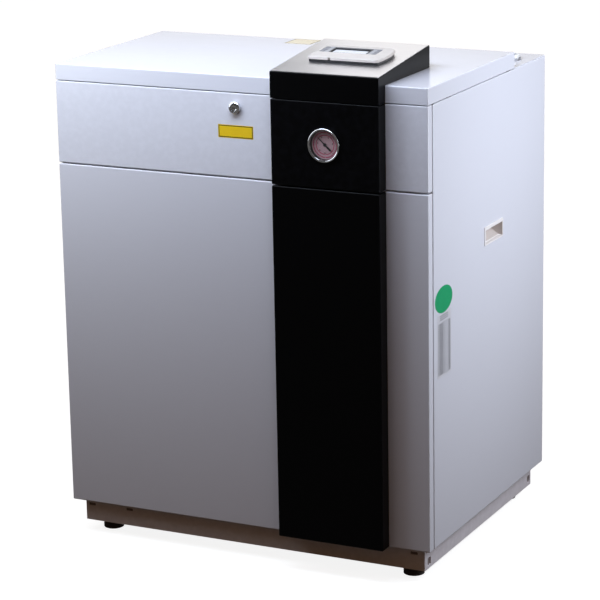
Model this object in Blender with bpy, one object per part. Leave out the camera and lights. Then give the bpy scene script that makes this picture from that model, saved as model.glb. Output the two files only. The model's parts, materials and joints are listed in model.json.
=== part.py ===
"""Ground source heat pump: a white sheet steel cabinet with a black column, a sloping console and its works.

Metres, +Z up, the front faces -Y. The origin lies on the floor under the middle of the bounding box.
Every piece is its own object; a moving piece has its origin on the axis of its joint.
"""

import math

import bmesh
import bpy
from mathutils import Matrix, Vector

# Cabinet, the driving sizes
WIDTH = 0.800
DEPTH = 0.606
FOOT_HEIGHT = 0.023
BASE_HEIGHT = 0.052
PANEL_OVERLAP = 0.005
LOWER_PANEL_HEIGHT = 0.7065
UPPER_PANEL_HEIGHT = 0.1645
LID_HEIGHT = 0.0321
DECK_DEPTH = 0.170
SEAM = 0.0025
LID_SEAM = 0.002
SIDE_SEAM = 0.003
SHEET = 0.0015
BEND = 0.003
RETURN = 0.0185
FIT = 0.0003
HOLE_FIT = 0.001
OVERRUN = 0.005

# Black column and console
COLUMN_FROM_RIGHT = 0.086
COLUMN_WIDTH = 0.225
COLUMN_PROUD = 0.030
CONSOLE_RISE = 0.0184
CONSOLE_LENGTH = 0.239
CONSOLE_SLOPE = math.radians(5.93)
CONSOLE_WALL = 0.002
PLATE_THICKNESS = 0.0012
PLATE_MARGIN = 0.0015

# Gauge in the column
GAUGE_RING_RADIUS = 0.0335
GAUGE_RING_PROUD = 0.006

# Levels and faces that more than one piece uses
FRONT = (COLUMN_PROUD + GAUGE_RING_PROUD - DEPTH) / 2
BACK = FRONT + DEPTH
HALF = WIDTH / 2
BASE_TOP = FOOT_HEIGHT + BASE_HEIGHT
PANEL_BOTTOM = BASE_TOP - PANEL_OVERLAP
LOWER_TOP = PANEL_BOTTOM + LOWER_PANEL_HEIGHT
UPPER_BOTTOM = LOWER_TOP + SEAM
UPPER_TOP = UPPER_BOTTOM + UPPER_PANEL_HEIGHT
LID_BOTTOM = UPPER_TOP + LID_SEAM
LID_TOP = LID_BOTTOM + LID_HEIGHT
BASE_INSET = RETURN + FIT
SIDE_FRONT = FRONT + RETURN + SIDE_SEAM
COLUMN_X1 = HALF - COLUMN_FROM_RIGHT
COLUMN_X0 = COLUMN_X1 - COLUMN_WIDTH
COLUMN_MIDDLE = (COLUMN_X0 + COLUMN_X1) / 2
COLUMN_FACE = FRONT - COLUMN_PROUD
SEAT_HEIGHT = LID_BOTTOM - UPPER_TOP - FIT
LID_DEPTH = DEPTH - DECK_DEPTH


# Shapes

def clear_scene():
    for obj in list(bpy.data.objects):
        bpy.data.objects.remove(obj, do_unlink=True)


def finish(name, color, roughness, metallic=0.0, alpha=1.0):
    material = bpy.data.materials.new(name)
    material.use_nodes = True
    shader = material.node_tree.nodes["Principled BSDF"]
    shader.inputs["Base Color"].default_value = (*color, 1.0)
    shader.inputs["Roughness"].default_value = roughness
    shader.inputs["Metallic"].default_value = metallic
    shader.inputs["Alpha"].default_value = alpha
    return material


def add(name, bm, material=None, parent=None, origin=(0, 0, 0)):
    """An object from a bmesh whose points are in the parent's frame; its own origin goes to origin."""
    bmesh.ops.translate(bm, verts=bm.verts, vec=-Vector(origin))
    bmesh.ops.recalc_face_normals(bm, faces=bm.faces)
    mesh = bpy.data.meshes.new(name)
    bm.to_mesh(mesh)
    bm.free()
    if material:
        mesh.materials.append(material)
    mesh.shade_smooth()
    mesh.set_sharp_from_angle(angle=SHARP_ANGLE)
    obj = bpy.data.objects.new(name, mesh)
    bpy.context.scene.collection.objects.link(obj)
    obj.location = origin
    obj.parent = parent
    return obj


SHARP_ANGLE = math.radians(35)


def combine(target, operation, helpers):
    """Joins the helper shapes to the target, or cuts them from it, by Booleans that stay live."""
    for number, bm in enumerate(helpers):
        helper = add(f"{target.name}_{operation.lower()}_{len(target.modifiers)}", bm, parent=target.parent)
        helper.hide_render = True
        helper.display_type = "WIRE"
        modifier = target.modifiers.new(f"{operation.title()} {number}", "BOOLEAN")
        modifier.operation = operation
        modifier.object = helper
    return target


def join(target, *helpers):
    return combine(target, "UNION", helpers)


def cut(target, *helpers):
    return combine(target, "DIFFERENCE", helpers)


def block(low, high):
    bm = bmesh.new()
    low, high = Vector(low), Vector(high)
    matrix = Matrix.Translation((low + high) / 2) @ Matrix.Diagonal((*(high - low), 1))
    bmesh.ops.create_cube(bm, size=1, matrix=matrix)
    return bm


def round_edges(bm, radius, segments, keep=lambda a, b: True):
    edges = [e for e in bm.edges if keep(e.verts[0].co, e.verts[1].co)]
    bmesh.ops.bevel(bm, geom=edges, offset=radius, segments=segments, profile=0.5, affect="EDGES")
    return bm


def rounded_block(low, high, radius, segments=1, keep=lambda a, b: True):
    return round_edges(block(low, high), radius, segments, keep)


def pan(low, high, side, wall=SHEET, bend=BEND, segments=3):
    """A folded sheet tray: a bent box open on one side, named by its sign and axis such as '+Y'."""
    axis = "XYZ".index(side[1])
    open_at = high[axis] if side[0] == "+" else low[axis]
    closed = lambda a, b: abs(a[axis] - open_at) > wall or abs(b[axis] - open_at) > wall
    bm = rounded_block(low, high, bend, segments, closed)
    rim = [f for f in bm.faces if all(abs(v.co[axis] - open_at) < FIT for v in f.verts)]
    bmesh.ops.inset_region(bm, faces=rim, thickness=wall)
    floor = bmesh.ops.extrude_discrete_faces(bm, faces=rim)["faces"]
    depth = high[axis] - low[axis] - wall
    shift = Vector((0, 0, 0))
    shift[axis] = -depth if side[0] == "+" else depth
    bmesh.ops.translate(bm, verts=list({v for f in floor for v in f.verts}), vec=shift)
    return bm


def prism(outline, axis, start, stop):
    """An outline of two coordinates, in X Y Z order without the axis, drawn along that axis."""
    bm = bmesh.new()
    index = "XYZ".index(axis)

    def ring(at):
        points = []
        for a, b in outline:
            point = [a, b]
            point.insert(index, at)
            points.append(bm.verts.new(point))
        return points

    first, last = ring(start), ring(stop)
    bm.faces.new(first)
    bm.faces.new(last)
    count = len(outline)
    for i in range(count):
        bm.faces.new((first[i], first[(i + 1) % count], last[(i + 1) % count], last[i]))
    return bm


def lathe(profile, sides, centre, axis="Z"):
    """A closed profile of (radius, distance along the axis) turned about an axis through centre."""
    bm = bmesh.new()
    rings = []
    for radius, along in profile:
        if radius == 0:
            rings.append([bm.verts.new((0, 0, along))])
            continue
        angles = [2 * math.pi * i / sides for i in range(sides)]
        rings.append([bm.verts.new((radius * math.cos(a), radius * math.sin(a), along)) for a in angles])
    for a, b in zip(rings, rings[1:] + rings[:1]):
        if len(a) == 1 and len(b) == 1:
            continue
        for i in range(sides):
            j = (i + 1) % sides
            corners = [a[i % len(a)], a[j % len(a)], b[j % len(b)], b[i % len(b)]]
            bm.faces.new(list(dict.fromkeys(corners)))
    turn = {"X": Matrix.Rotation(math.pi / 2, 4, "Y"), "Y": Matrix.Rotation(-math.pi / 2, 4, "X"), "Z": Matrix()}
    bmesh.ops.transform(bm, matrix=Matrix.Translation(centre) @ turn[axis], verts=bm.verts)
    return bm


def rod(radius, start, stop, sides, centre, axis="Z"):
    return lathe([(0, start), (radius, start), (radius, stop), (0, stop)], sides, centre, axis)


def bent_path(points, radius, steps=3):
    """Straight runs between the points, with an arc of the bend radius at each corner."""
    points = [Vector(p) for p in points]
    path = [points[0]]
    for before, corner, after in zip(points, points[1:], points[2:]):
        to_before, to_after = (before - corner).normalized(), (after - corner).normalized()
        half = to_before.angle(to_after) / 2
        setback = radius / math.tan(half)
        centre = corner + (to_before + to_after).normalized() * (radius / math.sin(half))
        start = (corner + to_before * setback - centre).normalized()
        stop = (corner + to_after * setback - centre).normalized()
        path += [centre + start.slerp(stop, i / steps) * radius for i in range(steps + 1)]
    return path + [points[-1]]


def ring_frames(points):
    """For each point the two directions square to the path there, carried along it without a twist."""
    frames = []
    normal = (points[1] - points[0]).orthogonal().normalized()
    for i, point in enumerate(points):
        ahead = next((p - point for p in points[i + 1:] if (p - point).length > FIT), Vector())
        behind = next((point - p for p in reversed(points[:i]) if (point - p).length > FIT), Vector())
        tangent = (ahead.normalized() + behind.normalized()).normalized()
        normal = (normal - tangent * normal.dot(tangent)).normalized()
        frames.append((normal.copy(), tangent.cross(normal)))
    return frames


def skin(bm, stations, sides):
    """A round skin through (point, radius) stations; two stations at one point make a step."""
    points = [point for point, radius in stations]
    rings = []
    for (point, radius), (normal, side) in zip(stations, ring_frames(points)):
        turns = [2 * math.pi * k / sides for k in range(sides)]
        rings.append([bm.verts.new(point + (normal * math.cos(t) + side * math.sin(t)) * radius) for t in turns])
    for a, b in zip(rings, rings[1:]):
        for k in range(sides):
            bm.faces.new((a[k], a[(k + 1) % sides], b[(k + 1) % sides], b[k]))
    return rings


def hollow_pipe(outer, inner, sides):
    """A pipe between an outer and an inner skin that share their first and their last point."""
    bm = bmesh.new()
    outside, inside = skin(bm, outer, sides), skin(bm, inner, sides)
    for end in (0, -1):
        for k in range(sides):
            m = (k + 1) % sides
            bm.faces.new((outside[end][k], outside[end][m], inside[end][m], inside[end][k]))
    return bm


def tube(path, radius, bore, sides):
    """A round pipe along the path, hollow by the bore's radius, or solid where that is 0."""
    if bore:
        return hollow_pipe([(p, radius) for p in path], [(p, bore) for p in path], sides)
    bm = bmesh.new()
    rings = skin(bm, [(p, radius) for p in path], sides)
    bm.faces.new(rings[0])
    bm.faces.new(rings[-1])
    return bm


def rounded_outline(x0, x1, y0, y1, radii, steps=3):
    """A rectangle's outline with its own radius at each corner, from (x0, y0) round to (x0, y1)."""
    corners = [(x0, y0, 1, 1), (x1, y0, -1, 1), (x1, y1, -1, -1), (x0, y1, 1, -1)]
    outline = []
    for number, ((x, y, sx, sy), r) in enumerate(zip(corners, radii)):
        first = math.pi + number * math.pi / 2
        for i in range(steps + 1):
            angle = first + math.pi / 2 * i / steps
            outline.append((x + sx * r + r * math.cos(angle), y + sy * r + r * math.sin(angle)))
    return outline


clear_scene()

# Finishes
WHITE = finish("white powder coat", (0.80, 0.82, 0.88), 0.35)
BLACK = finish("black powder coat", (0.012, 0.012, 0.014), 0.32)
GREY = finish("grey painted base", (0.42, 0.39, 0.37), 0.5)
ZINC = finish("galvanised steel", (0.62, 0.63, 0.64), 0.42, 0.9)
BRUSHED = finish("brushed steel", (0.72, 0.71, 0.71), 0.3, 1.0)
CHROME = finish("chrome", (0.78, 0.78, 0.80), 0.08, 1.0)
BRASS = finish("brass", (0.72, 0.53, 0.25), 0.3, 1.0)
COPPER = finish("copper", (0.80, 0.42, 0.27), 0.3, 1.0)
STAINLESS = finish("stainless steel", (0.66, 0.66, 0.66), 0.28, 1.0)
RUBBER = finish("black rubber", (0.02, 0.02, 0.02), 0.8)
IVORY = finish("ivory plastic", (0.83, 0.81, 0.76), 0.4)
SILVER_PLASTIC = finish("silver plastic", (0.72, 0.71, 0.72), 0.35)
DARK_PLASTIC = finish("dark plastic", (0.03, 0.03, 0.032), 0.4)
GREY_PLASTIC = finish("grey plastic", (0.35, 0.36, 0.38), 0.45)
BOARD = finish("circuit board", (0.02, 0.20, 0.08), 0.4)
DIAL = finish("dial face", (0.62, 0.55, 0.56), 0.5)
GLASS = finish("clear glass", (0.95, 0.97, 0.97), 0.03, 0.0, 0.25)
SHELL_BLACK = finish("black enamel", (0.02, 0.02, 0.022), 0.3)


# Base pan and levelling feet
BASE_SHEET = 0.002
FOOT_INSET = 0.060
FOOT_RADIUS = 0.021
PAD_HEIGHT = 0.018
PAD_TOP_RADIUS = 0.017
STUD_RADIUS = 0.005
STUD_ABOVE_BASE = 0.018
NUT_RADIUS = 0.0095
NUT_HEIGHT = 0.008
SLOT_LENGTH = 0.010
SLOT_HEIGHT = 0.0065
SLOT_DROP = 0.019
LEFT_SLOT = 0.034
SECOND_SLOT = 0.122
RIGHT_SLOT = 0.042
FRONT_SLOTS = (LEFT_SLOT, SECOND_SLOT, WIDTH - RIGHT_SLOT)
END_HOLE_WIDTH = 0.009
END_HOLE_HEIGHT = 0.014
END_HOLE_RISE = 0.0145
FRONT_HOLE_INSET = 0.0187
REAR_HOLE_INSET = 0.0067
FEET = {
    "front_left": (-HALF + FOOT_INSET, FRONT + FOOT_INSET),
    "front_right": (HALF - FOOT_INSET, FRONT + FOOT_INSET),
    "rear_left": (-HALF + FOOT_INSET, BACK - FOOT_INSET),
    "rear_right": (HALF - FOOT_INSET, BACK - FOOT_INSET),
}


def base_pan():
    x, y0, y1 = HALF - BASE_INSET, FRONT + BASE_INSET, BACK - BASE_INSET
    base = add("base_pan", pan((-x, y0, FOOT_HEIGHT), (x, y1, BASE_TOP), "-Z", BASE_SHEET, segments=2), GREY)
    for fx, fy in FEET.values():
        cut(base, rod(STUD_RADIUS + HOLE_FIT, BASE_TOP - OVERRUN, BASE_TOP + OVERRUN, 10, (fx, fy, 0)))
    slot_z = BASE_TOP - SLOT_DROP
    for along in FRONT_SLOTS:
        at = along - HALF
        low = (at - SLOT_LENGTH / 2, y0 - OVERRUN, slot_z - SLOT_HEIGHT / 2)
        cut(base, block(low, (at + SLOT_LENGTH / 2, y0 + OVERRUN, slot_z + SLOT_HEIGHT / 2)))
    hole_z = FOOT_HEIGHT + END_HOLE_RISE
    for wall in (-x, x):
        for at in (y0 + FRONT_HOLE_INSET, y1 - REAR_HOLE_INSET - END_HOLE_WIDTH):
            low = (wall - OVERRUN, at, hole_z - END_HOLE_HEIGHT / 2)
            cut(base, block(low, (wall + OVERRUN, at + END_HOLE_WIDTH, hole_z + END_HOLE_HEIGHT / 2)))
    return base


def levelling_foot(place, x, y):
    """A rubber pad with its stud, whose nut carries the base pan's sheet."""
    nut_top = BASE_TOP - BASE_SHEET - FIT
    profile = [(0, 0), (FOOT_RADIUS, 0), (FOOT_RADIUS, PAD_HEIGHT / 2), (PAD_TOP_RADIUS, PAD_HEIGHT)]
    profile += [(STUD_RADIUS, PAD_HEIGHT), (STUD_RADIUS, nut_top - NUT_HEIGHT), (NUT_RADIUS, nut_top - NUT_HEIGHT)]
    profile += [(NUT_RADIUS, nut_top), (STUD_RADIUS, nut_top)]
    profile += [(STUD_RADIUS, BASE_TOP + STUD_ABOVE_BASE), (0, BASE_TOP + STUD_ABOVE_BASE)]
    return add(f"levelling_foot_{place}", lathe(profile, 16, (x, y, 0)), RUBBER, origin=(x, y, 0))


base_pan()
for foot_place, (foot_x, foot_y) in FEET.items():
    levelling_foot(foot_place, foot_x, foot_y)


# Side panels, rear panel and handles
HANDLE_WIDTH = 0.0976
HANDLE_HEIGHT = 0.038
HANDLE_PROUD = 0.002
HANDLE_FROM_FRONT = 0.3234
HANDLE_RISE = 0.5655
HANDLE_Z = PANEL_BOTTOM + HANDLE_RISE
HANDLE_RIM = 0.005
HANDLE_WALL = 0.002
CUP_DEPTH = 0.024
HANDLE_Y = FRONT + HANDLE_FROM_FRONT
CUP_HALF_WIDTH = HANDLE_WIDTH / 2 - HANDLE_RIM
CUP_HALF_HEIGHT = HANDLE_HEIGHT / 2 - HANDLE_RIM
LID_SEAT_LENGTH = 0.020
LID_SEAT_WIDTH = 0.008
LID_SEAT_SHARES = (0.12, 0.62)


def side_panel(name, sign):
    outer, inner = sign * HALF, sign * (HALF - RETURN)
    low = (min(outer, inner), SIDE_FRONT, PANEL_BOTTOM)
    panel = add(name, pan(low, (max(outer, inner), BACK, UPPER_TOP), "-X" if sign > 0 else "+X"), WHITE)
    half_width, half_height = CUP_HALF_WIDTH + HANDLE_WALL + FIT, CUP_HALF_HEIGHT + HANDLE_WALL + FIT
    wall = (outer - sign * OVERRUN, outer + sign * OVERRUN)
    low = (min(wall), HANDLE_Y - half_width, HANDLE_Z - half_height)
    cut(panel, block(low, (max(wall), HANDLE_Y + half_width, HANDLE_Z + half_height)))
    seat_x = sorted((outer - sign * BEND, outer - sign * (BEND + LID_SEAT_WIDTH)))
    for share in LID_SEAT_SHARES:
        y = SIDE_FRONT + share * DEPTH
        low = (seat_x[0], y, UPPER_TOP - SHEET / 2)
        join(panel, block(low, (seat_x[1], y + LID_SEAT_LENGTH, UPPER_TOP + SEAT_HEIGHT)))
    return panel


def handle(name, sign):
    """A recessed grip: a rim proud of the side panel round a cup that reaches inwards."""
    face, rim_back = sign * (HALF + HANDLE_PROUD), sign * (HALF + FIT)
    rim = sorted((face, rim_back))
    half_width, half_height = HANDLE_WIDTH / 2, HANDLE_HEIGHT / 2
    low = (rim[0], HANDLE_Y - half_width, HANDLE_Z - half_height)
    rim_shape = rounded_block(low, (rim[1], HANDLE_Y + half_width, HANDLE_Z + half_height), HANDLE_PROUD / 4)
    grip = add(name, rim_shape, IVORY)
    cup = sorted((sign * (HALF - CUP_DEPTH), sign * (HALF + HANDLE_PROUD / 2)))
    half_width, half_height = CUP_HALF_WIDTH + HANDLE_WALL, CUP_HALF_HEIGHT + HANDLE_WALL
    low = (cup[0], HANDLE_Y - half_width, HANDLE_Z - half_height)
    join(grip, block(low, (cup[1], HANDLE_Y + half_width, HANDLE_Z + half_height)))
    pocket = sorted((sign * (HALF - CUP_DEPTH + HANDLE_WALL), sign * (HALF + OVERRUN)))
    low = (pocket[0], HANDLE_Y - CUP_HALF_WIDTH, HANDLE_Z - CUP_HALF_HEIGHT)
    cut(grip, block(low, (pocket[1], HANDLE_Y + CUP_HALF_WIDTH, HANDLE_Z + CUP_HALF_HEIGHT)))
    return grip


def rear_panel():
    x = HALF - RETURN - FIT
    return add("rear_panel", pan((-x, BACK - RETURN, PANEL_BOTTOM), (x, BACK, UPPER_TOP), "-Y"), WHITE)


for side_name, side_sign in (("left", -1), ("right", 1)):
    side_panel(f"{side_name}_side_panel", side_sign)
    handle(f"{side_name}_handle", side_sign)
rear_panel()


# Lower front panel and lower column cover
HINGE_IN = 0.0055
HINGE_BEHIND = 0.0125
HINGE_X = -HALF + HINGE_IN
HINGE_Y = FRONT + HINGE_BEHIND
PIN_RADIUS = 0.002
PIN_FIT = 0.0003


def pin_hole(z):
    return rod(PIN_RADIUS + PIN_FIT, z - OVERRUN, z + OVERRUN, 16, (HINGE_X, HINGE_Y, 0))


def column_cover(name, bottom, top):
    """A black cover over the white front panel, open at its back."""
    return add(name, pan((COLUMN_X0, COLUMN_FACE, bottom), (COLUMN_X1, FRONT - FIT, top), "+Y"), BLACK)


def lower_front():
    low, high = (-HALF, FRONT, PANEL_BOTTOM), (HALF, FRONT + RETURN, LOWER_TOP)
    panel = add("lower_front_panel", pan(low, high, "+Y"), WHITE)
    cut(panel, pin_hole(LOWER_TOP))
    column_cover("lower_column_cover", PANEL_BOTTOM, LOWER_TOP)


lower_front()


# Front posts, with the hinge pins on the left one
POST_SHEET = 0.002
POST_WIDTH = 0.026
POST_DEPTH = 0.030
TAB_CLEARANCE = 0.001
TAB_REACH = 0.0045
TAB_WIDTH = 0.008
POST_FRONT = SIDE_FRONT + SHEET + FIT
POST_OUTER = HALF - BEND - SHEET
POST_INNER = POST_OUTER - POST_WIDTH
POST_TOP = UPPER_TOP - BEND - SHEET


def mirrored_block(sign, low, high):
    xs = sorted((sign * low[0], sign * high[0]))
    return block((xs[0], *low[1:]), (xs[1], *high[1:]))


def mirrored_prism(sign, outline, start, stop):
    return prism([(sign * x, y) for x, y in outline], "Z", start, stop)


def front_post(name, sign, pins):
    """An angle post behind the side panel's front return, with a tab at the top and at the seam."""
    x0, x1, y0, step = POST_INNER, POST_OUTER, POST_FRONT, POST_SHEET
    angle = [(x0, y0), (x1, y0), (x1, y0 + step), (x0 + step, y0 + step)]
    angle += [(x0 + step, y0 + POST_DEPTH), (x0, y0 + POST_DEPTH)]
    post = add(name, mirrored_prism(sign, angle, BASE_TOP + FIT, POST_TOP), ZINC)
    inner, outer = x0 + step * 1.5, x0 + step * 1.5 + TAB_WIDTH
    tip = HALF - HINGE_IN + PIN_RADIUS * 1.5
    front, mouth, back = HINGE_Y - TAB_REACH, HINGE_Y + TAB_REACH, y0 + step * 1.5
    tab = [(inner, front), (tip, front), (tip, mouth), (outer, mouth), (outer, back), (inner, back)]
    top = UPPER_TOP + TAB_CLEARANCE + step
    seam = LOWER_TOP - SHEET - TAB_CLEARANCE
    join(post, mirrored_prism(sign, tab, seam - step, seam))
    join(post, mirrored_prism(sign, tab, top - step, top))
    edge = step / 4
    riser_low = (inner + edge, y0 + edge, POST_TOP - OVERRUN)
    join(post, mirrored_block(sign, riser_low, (outer - edge, back - edge, top - step / 2)))
    if pins:
        join(post, rod(PIN_RADIUS, UPPER_TOP - RETURN / 4, top - step / 2, 16, (HINGE_X, HINGE_Y, 0)))
        join(post, rod(PIN_RADIUS, seam - step / 2, UPPER_BOTTOM + RETURN / 4, 16, (HINGE_X, HINGE_Y, 0)))
    return post


front_post("front_post_left", -1, True)
front_post("front_post_right", 1, False)


# Lid and rear deck, with its ports' holes
LID_FOLD = 0.012
LID_FOLD_START = 0.040
PORT_FROM_BACK = 0.076
PORT_Y = BACK - PORT_FROM_BACK
PORT_RADIUS = 0.022
PORT_PROUD = 0.010
SOURCE_OUT_FROM_SIDE = 0.050
SOURCE_PORT_PITCH = 0.085
CIRCUIT_PITCH = 0.160
HEATING_PORT_PITCH = 0.120
SOURCE_OUT_PORT_X = HALF - SOURCE_OUT_FROM_SIDE
SOURCE_IN_PORT_X = SOURCE_OUT_PORT_X - SOURCE_PORT_PITCH
FLOW_PORT_X = SOURCE_IN_PORT_X - CIRCUIT_PITCH
RETURN_PORT_X = FLOW_PORT_X - HEATING_PORT_PITCH
PORTS = (RETURN_PORT_X, FLOW_PORT_X, SOURCE_IN_PORT_X, SOURCE_OUT_PORT_X)
GLAND_FROM_SIDE = 0.150
GLAND_X = GLAND_FROM_SIDE - HALF
GLAND_RADIUS = 0.012
DECK_TOP = LID_BOTTOM
DECK_FRONT = FRONT + LID_DEPTH + FIT


def lid():
    cover = add("lid", pan((-HALF, FRONT, LID_BOTTOM), (HALF, FRONT + LID_DEPTH, LID_TOP), "-Z"), WHITE)
    y0, y1 = FRONT + LID_FOLD_START, FRONT + LID_DEPTH - LID_FOLD_START
    for sign in (-1, 1):
        fold_low = (HALF - SHEET - LID_FOLD, y0, LID_BOTTOM)
        join(cover, mirrored_block(sign, fold_low, (HALF - SHEET / 2, y1, LID_BOTTOM + SHEET)))
    return cover


def rear_deck():
    low, high = (-HALF, DECK_FRONT, UPPER_TOP + FIT), (HALF, BACK, DECK_TOP)
    upright = lambda a, b: abs(a.z - b.z) > FIT
    deck = add("rear_deck", rounded_block(low, high, BEND, 2, upright), WHITE)
    for x in PORTS:
        cut(deck, rod(PORT_RADIUS + HOLE_FIT, UPPER_TOP - OVERRUN, DECK_TOP + OVERRUN, 16, (x, PORT_Y, 0)))
    cut(deck, rod(GLAND_RADIUS + HOLE_FIT, UPPER_TOP - OVERRUN, DECK_TOP + OVERRUN, 16, (GLAND_X, PORT_Y, 0)))
    return deck


GLAND_HEX_RADIUS = 0.015
GLAND_HEX_HEIGHT = 0.006
GLAND_DOME_RADIUS = 0.011
GLAND_TOP = 0.011
GLAND_BELOW = 0.012
GLAND_BORE = 0.005


def cable_gland():
    """The mains cable's entry: a hexagon on the deck, a dome above it and a thread below."""
    hexagon = DECK_TOP + FIT
    profile = [(GLAND_BORE, hexagon - GLAND_BELOW), (GLAND_RADIUS, hexagon - GLAND_BELOW), (GLAND_RADIUS, hexagon)]
    profile += [(GLAND_HEX_RADIUS, hexagon), (GLAND_HEX_RADIUS, hexagon + GLAND_HEX_HEIGHT)]
    profile += [(GLAND_DOME_RADIUS, hexagon + GLAND_HEX_HEIGHT), (GLAND_DOME_RADIUS * 0.8, hexagon + GLAND_TOP)]
    profile += [(GLAND_BORE, hexagon + GLAND_TOP)]
    return add("cable_gland", lathe(profile, 12, (GLAND_X, PORT_Y, 0)), DARK_PLASTIC)


lid()
rear_deck()
cable_gland()


# Service door: the upper front panel, its column cover and its lock
LOCK_DROP = 0.0298
LOCK_X = 0.0
LOCK_Z = LID_BOTTOM - LOCK_DROP
LOCK_HEAD_RADIUS = 0.011
LOCK_PROUD = 0.009
BARREL_RADIUS = 0.009
BARREL_LENGTH = 0.022
PLUG_RADIUS = 0.0062
KEYWAY_WIDTH = 0.0016
KEYWAY_HEIGHT = 0.008
KEYWAY_DEPTH = 0.004
CAM_THICKNESS = 0.002
CAM_WIDTH = 0.009
CAM_REACH = 0.0175
CAM_GAP = 0.0008
KEEPER_SHEET = 0.0015
BOX_FRONT = POST_FRONT + POST_SHEET


def service_door():
    low, high = (-HALF, FRONT, UPPER_BOTTOM), (HALF, FRONT + RETURN, UPPER_TOP)
    door = add("upper_front_panel", pan(low, high, "+Y"), WHITE, origin=(HINGE_X, HINGE_Y, UPPER_BOTTOM))
    cut(door, pin_hole(UPPER_BOTTOM), pin_hole(UPPER_TOP))
    cut(door, rod(BARREL_RADIUS + FIT, -OVERRUN, OVERRUN, 20, (LOCK_X, FRONT, LOCK_Z), "Y"))
    cover = column_cover("upper_column_cover", UPPER_BOTTOM, UPPER_TOP)
    cut(cover, rod(CASE_RADIUS + FIT, -OVERRUN, OVERRUN, 28, (COLUMN_MIDDLE, COLUMN_FACE, GAUGE_Z), "Y"))
    return door


def lock():
    """A chrome barrel lock; its plug turns a cam behind the keeper on the control box."""
    centre = (LOCK_X, FRONT, LOCK_Z)
    bore = PLUG_RADIUS + FIT
    profile = [(bore, -LOCK_PROUD), (LOCK_HEAD_RADIUS - FIT, -LOCK_PROUD), (LOCK_HEAD_RADIUS, -LOCK_PROUD + FIT * 2)]
    profile += [(LOCK_HEAD_RADIUS, -FIT), (BARREL_RADIUS, -FIT), (BARREL_RADIUS, BARREL_LENGTH), (bore, BARREL_LENGTH)]
    add("lock_body", lathe(profile, 20, centre, "Y"), CHROME)
    cam_front = BOX_FRONT + KEEPER_SHEET + CAM_GAP - FRONT
    cam_back = cam_front + CAM_THICKNESS
    face = -LOCK_PROUD + KEYWAY_WIDTH / 2
    plug = add("lock_plug_cam", rod(PLUG_RADIUS, face, cam_back, 20, centre, "Y"), CHROME, origin=centre)
    half = CAM_WIDTH / 2
    outline = [(LOCK_X - CAM_REACH, LOCK_Z - half), (LOCK_X + half, LOCK_Z - half)]
    outline += [(LOCK_X + half, LOCK_Z + half), (LOCK_X - CAM_REACH, LOCK_Z + half)]
    join(plug, prism(outline, "Y", FRONT + cam_front, FRONT + cam_back))
    low = (LOCK_X - KEYWAY_HEIGHT / 2, FRONT + face - OVERRUN, LOCK_Z - KEYWAY_WIDTH / 2)
    high = (LOCK_X + KEYWAY_HEIGHT / 2, FRONT + face + KEYWAY_DEPTH, LOCK_Z + KEYWAY_WIDTH / 2)
    cut(plug, block(low, high))
    return plug


# Pressure gauge in the upper column cover
CASE_RADIUS = 0.030
CASE_WALL = 0.0015
GAUGE_DROP = 0.081
GAUGE_Z = UPPER_TOP - GAUGE_DROP
GLASS_THICKNESS = 0.0015
GLASS_SETBACK = 0.002
DIAL_THICKNESS = 0.001
DIAL_BEHIND_RIM = 0.0102
NEEDLE_THICKNESS = 0.0008
NEEDLE_LENGTH = 0.020
NEEDLE_TAIL = 0.016
NEEDLE_WIDTH = 0.0016
NEEDLE_HUB_RADIUS = 0.0028
NEEDLE_ABOVE_DIAL = 0.001
SPINDLE_RADIUS = 0.0012
SPINDLE_LENGTH = 0.004
NEEDLE_ANGLE = math.radians(137.5)
STEM_RADIUS = 0.007
STEM_END = 0.022


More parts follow.
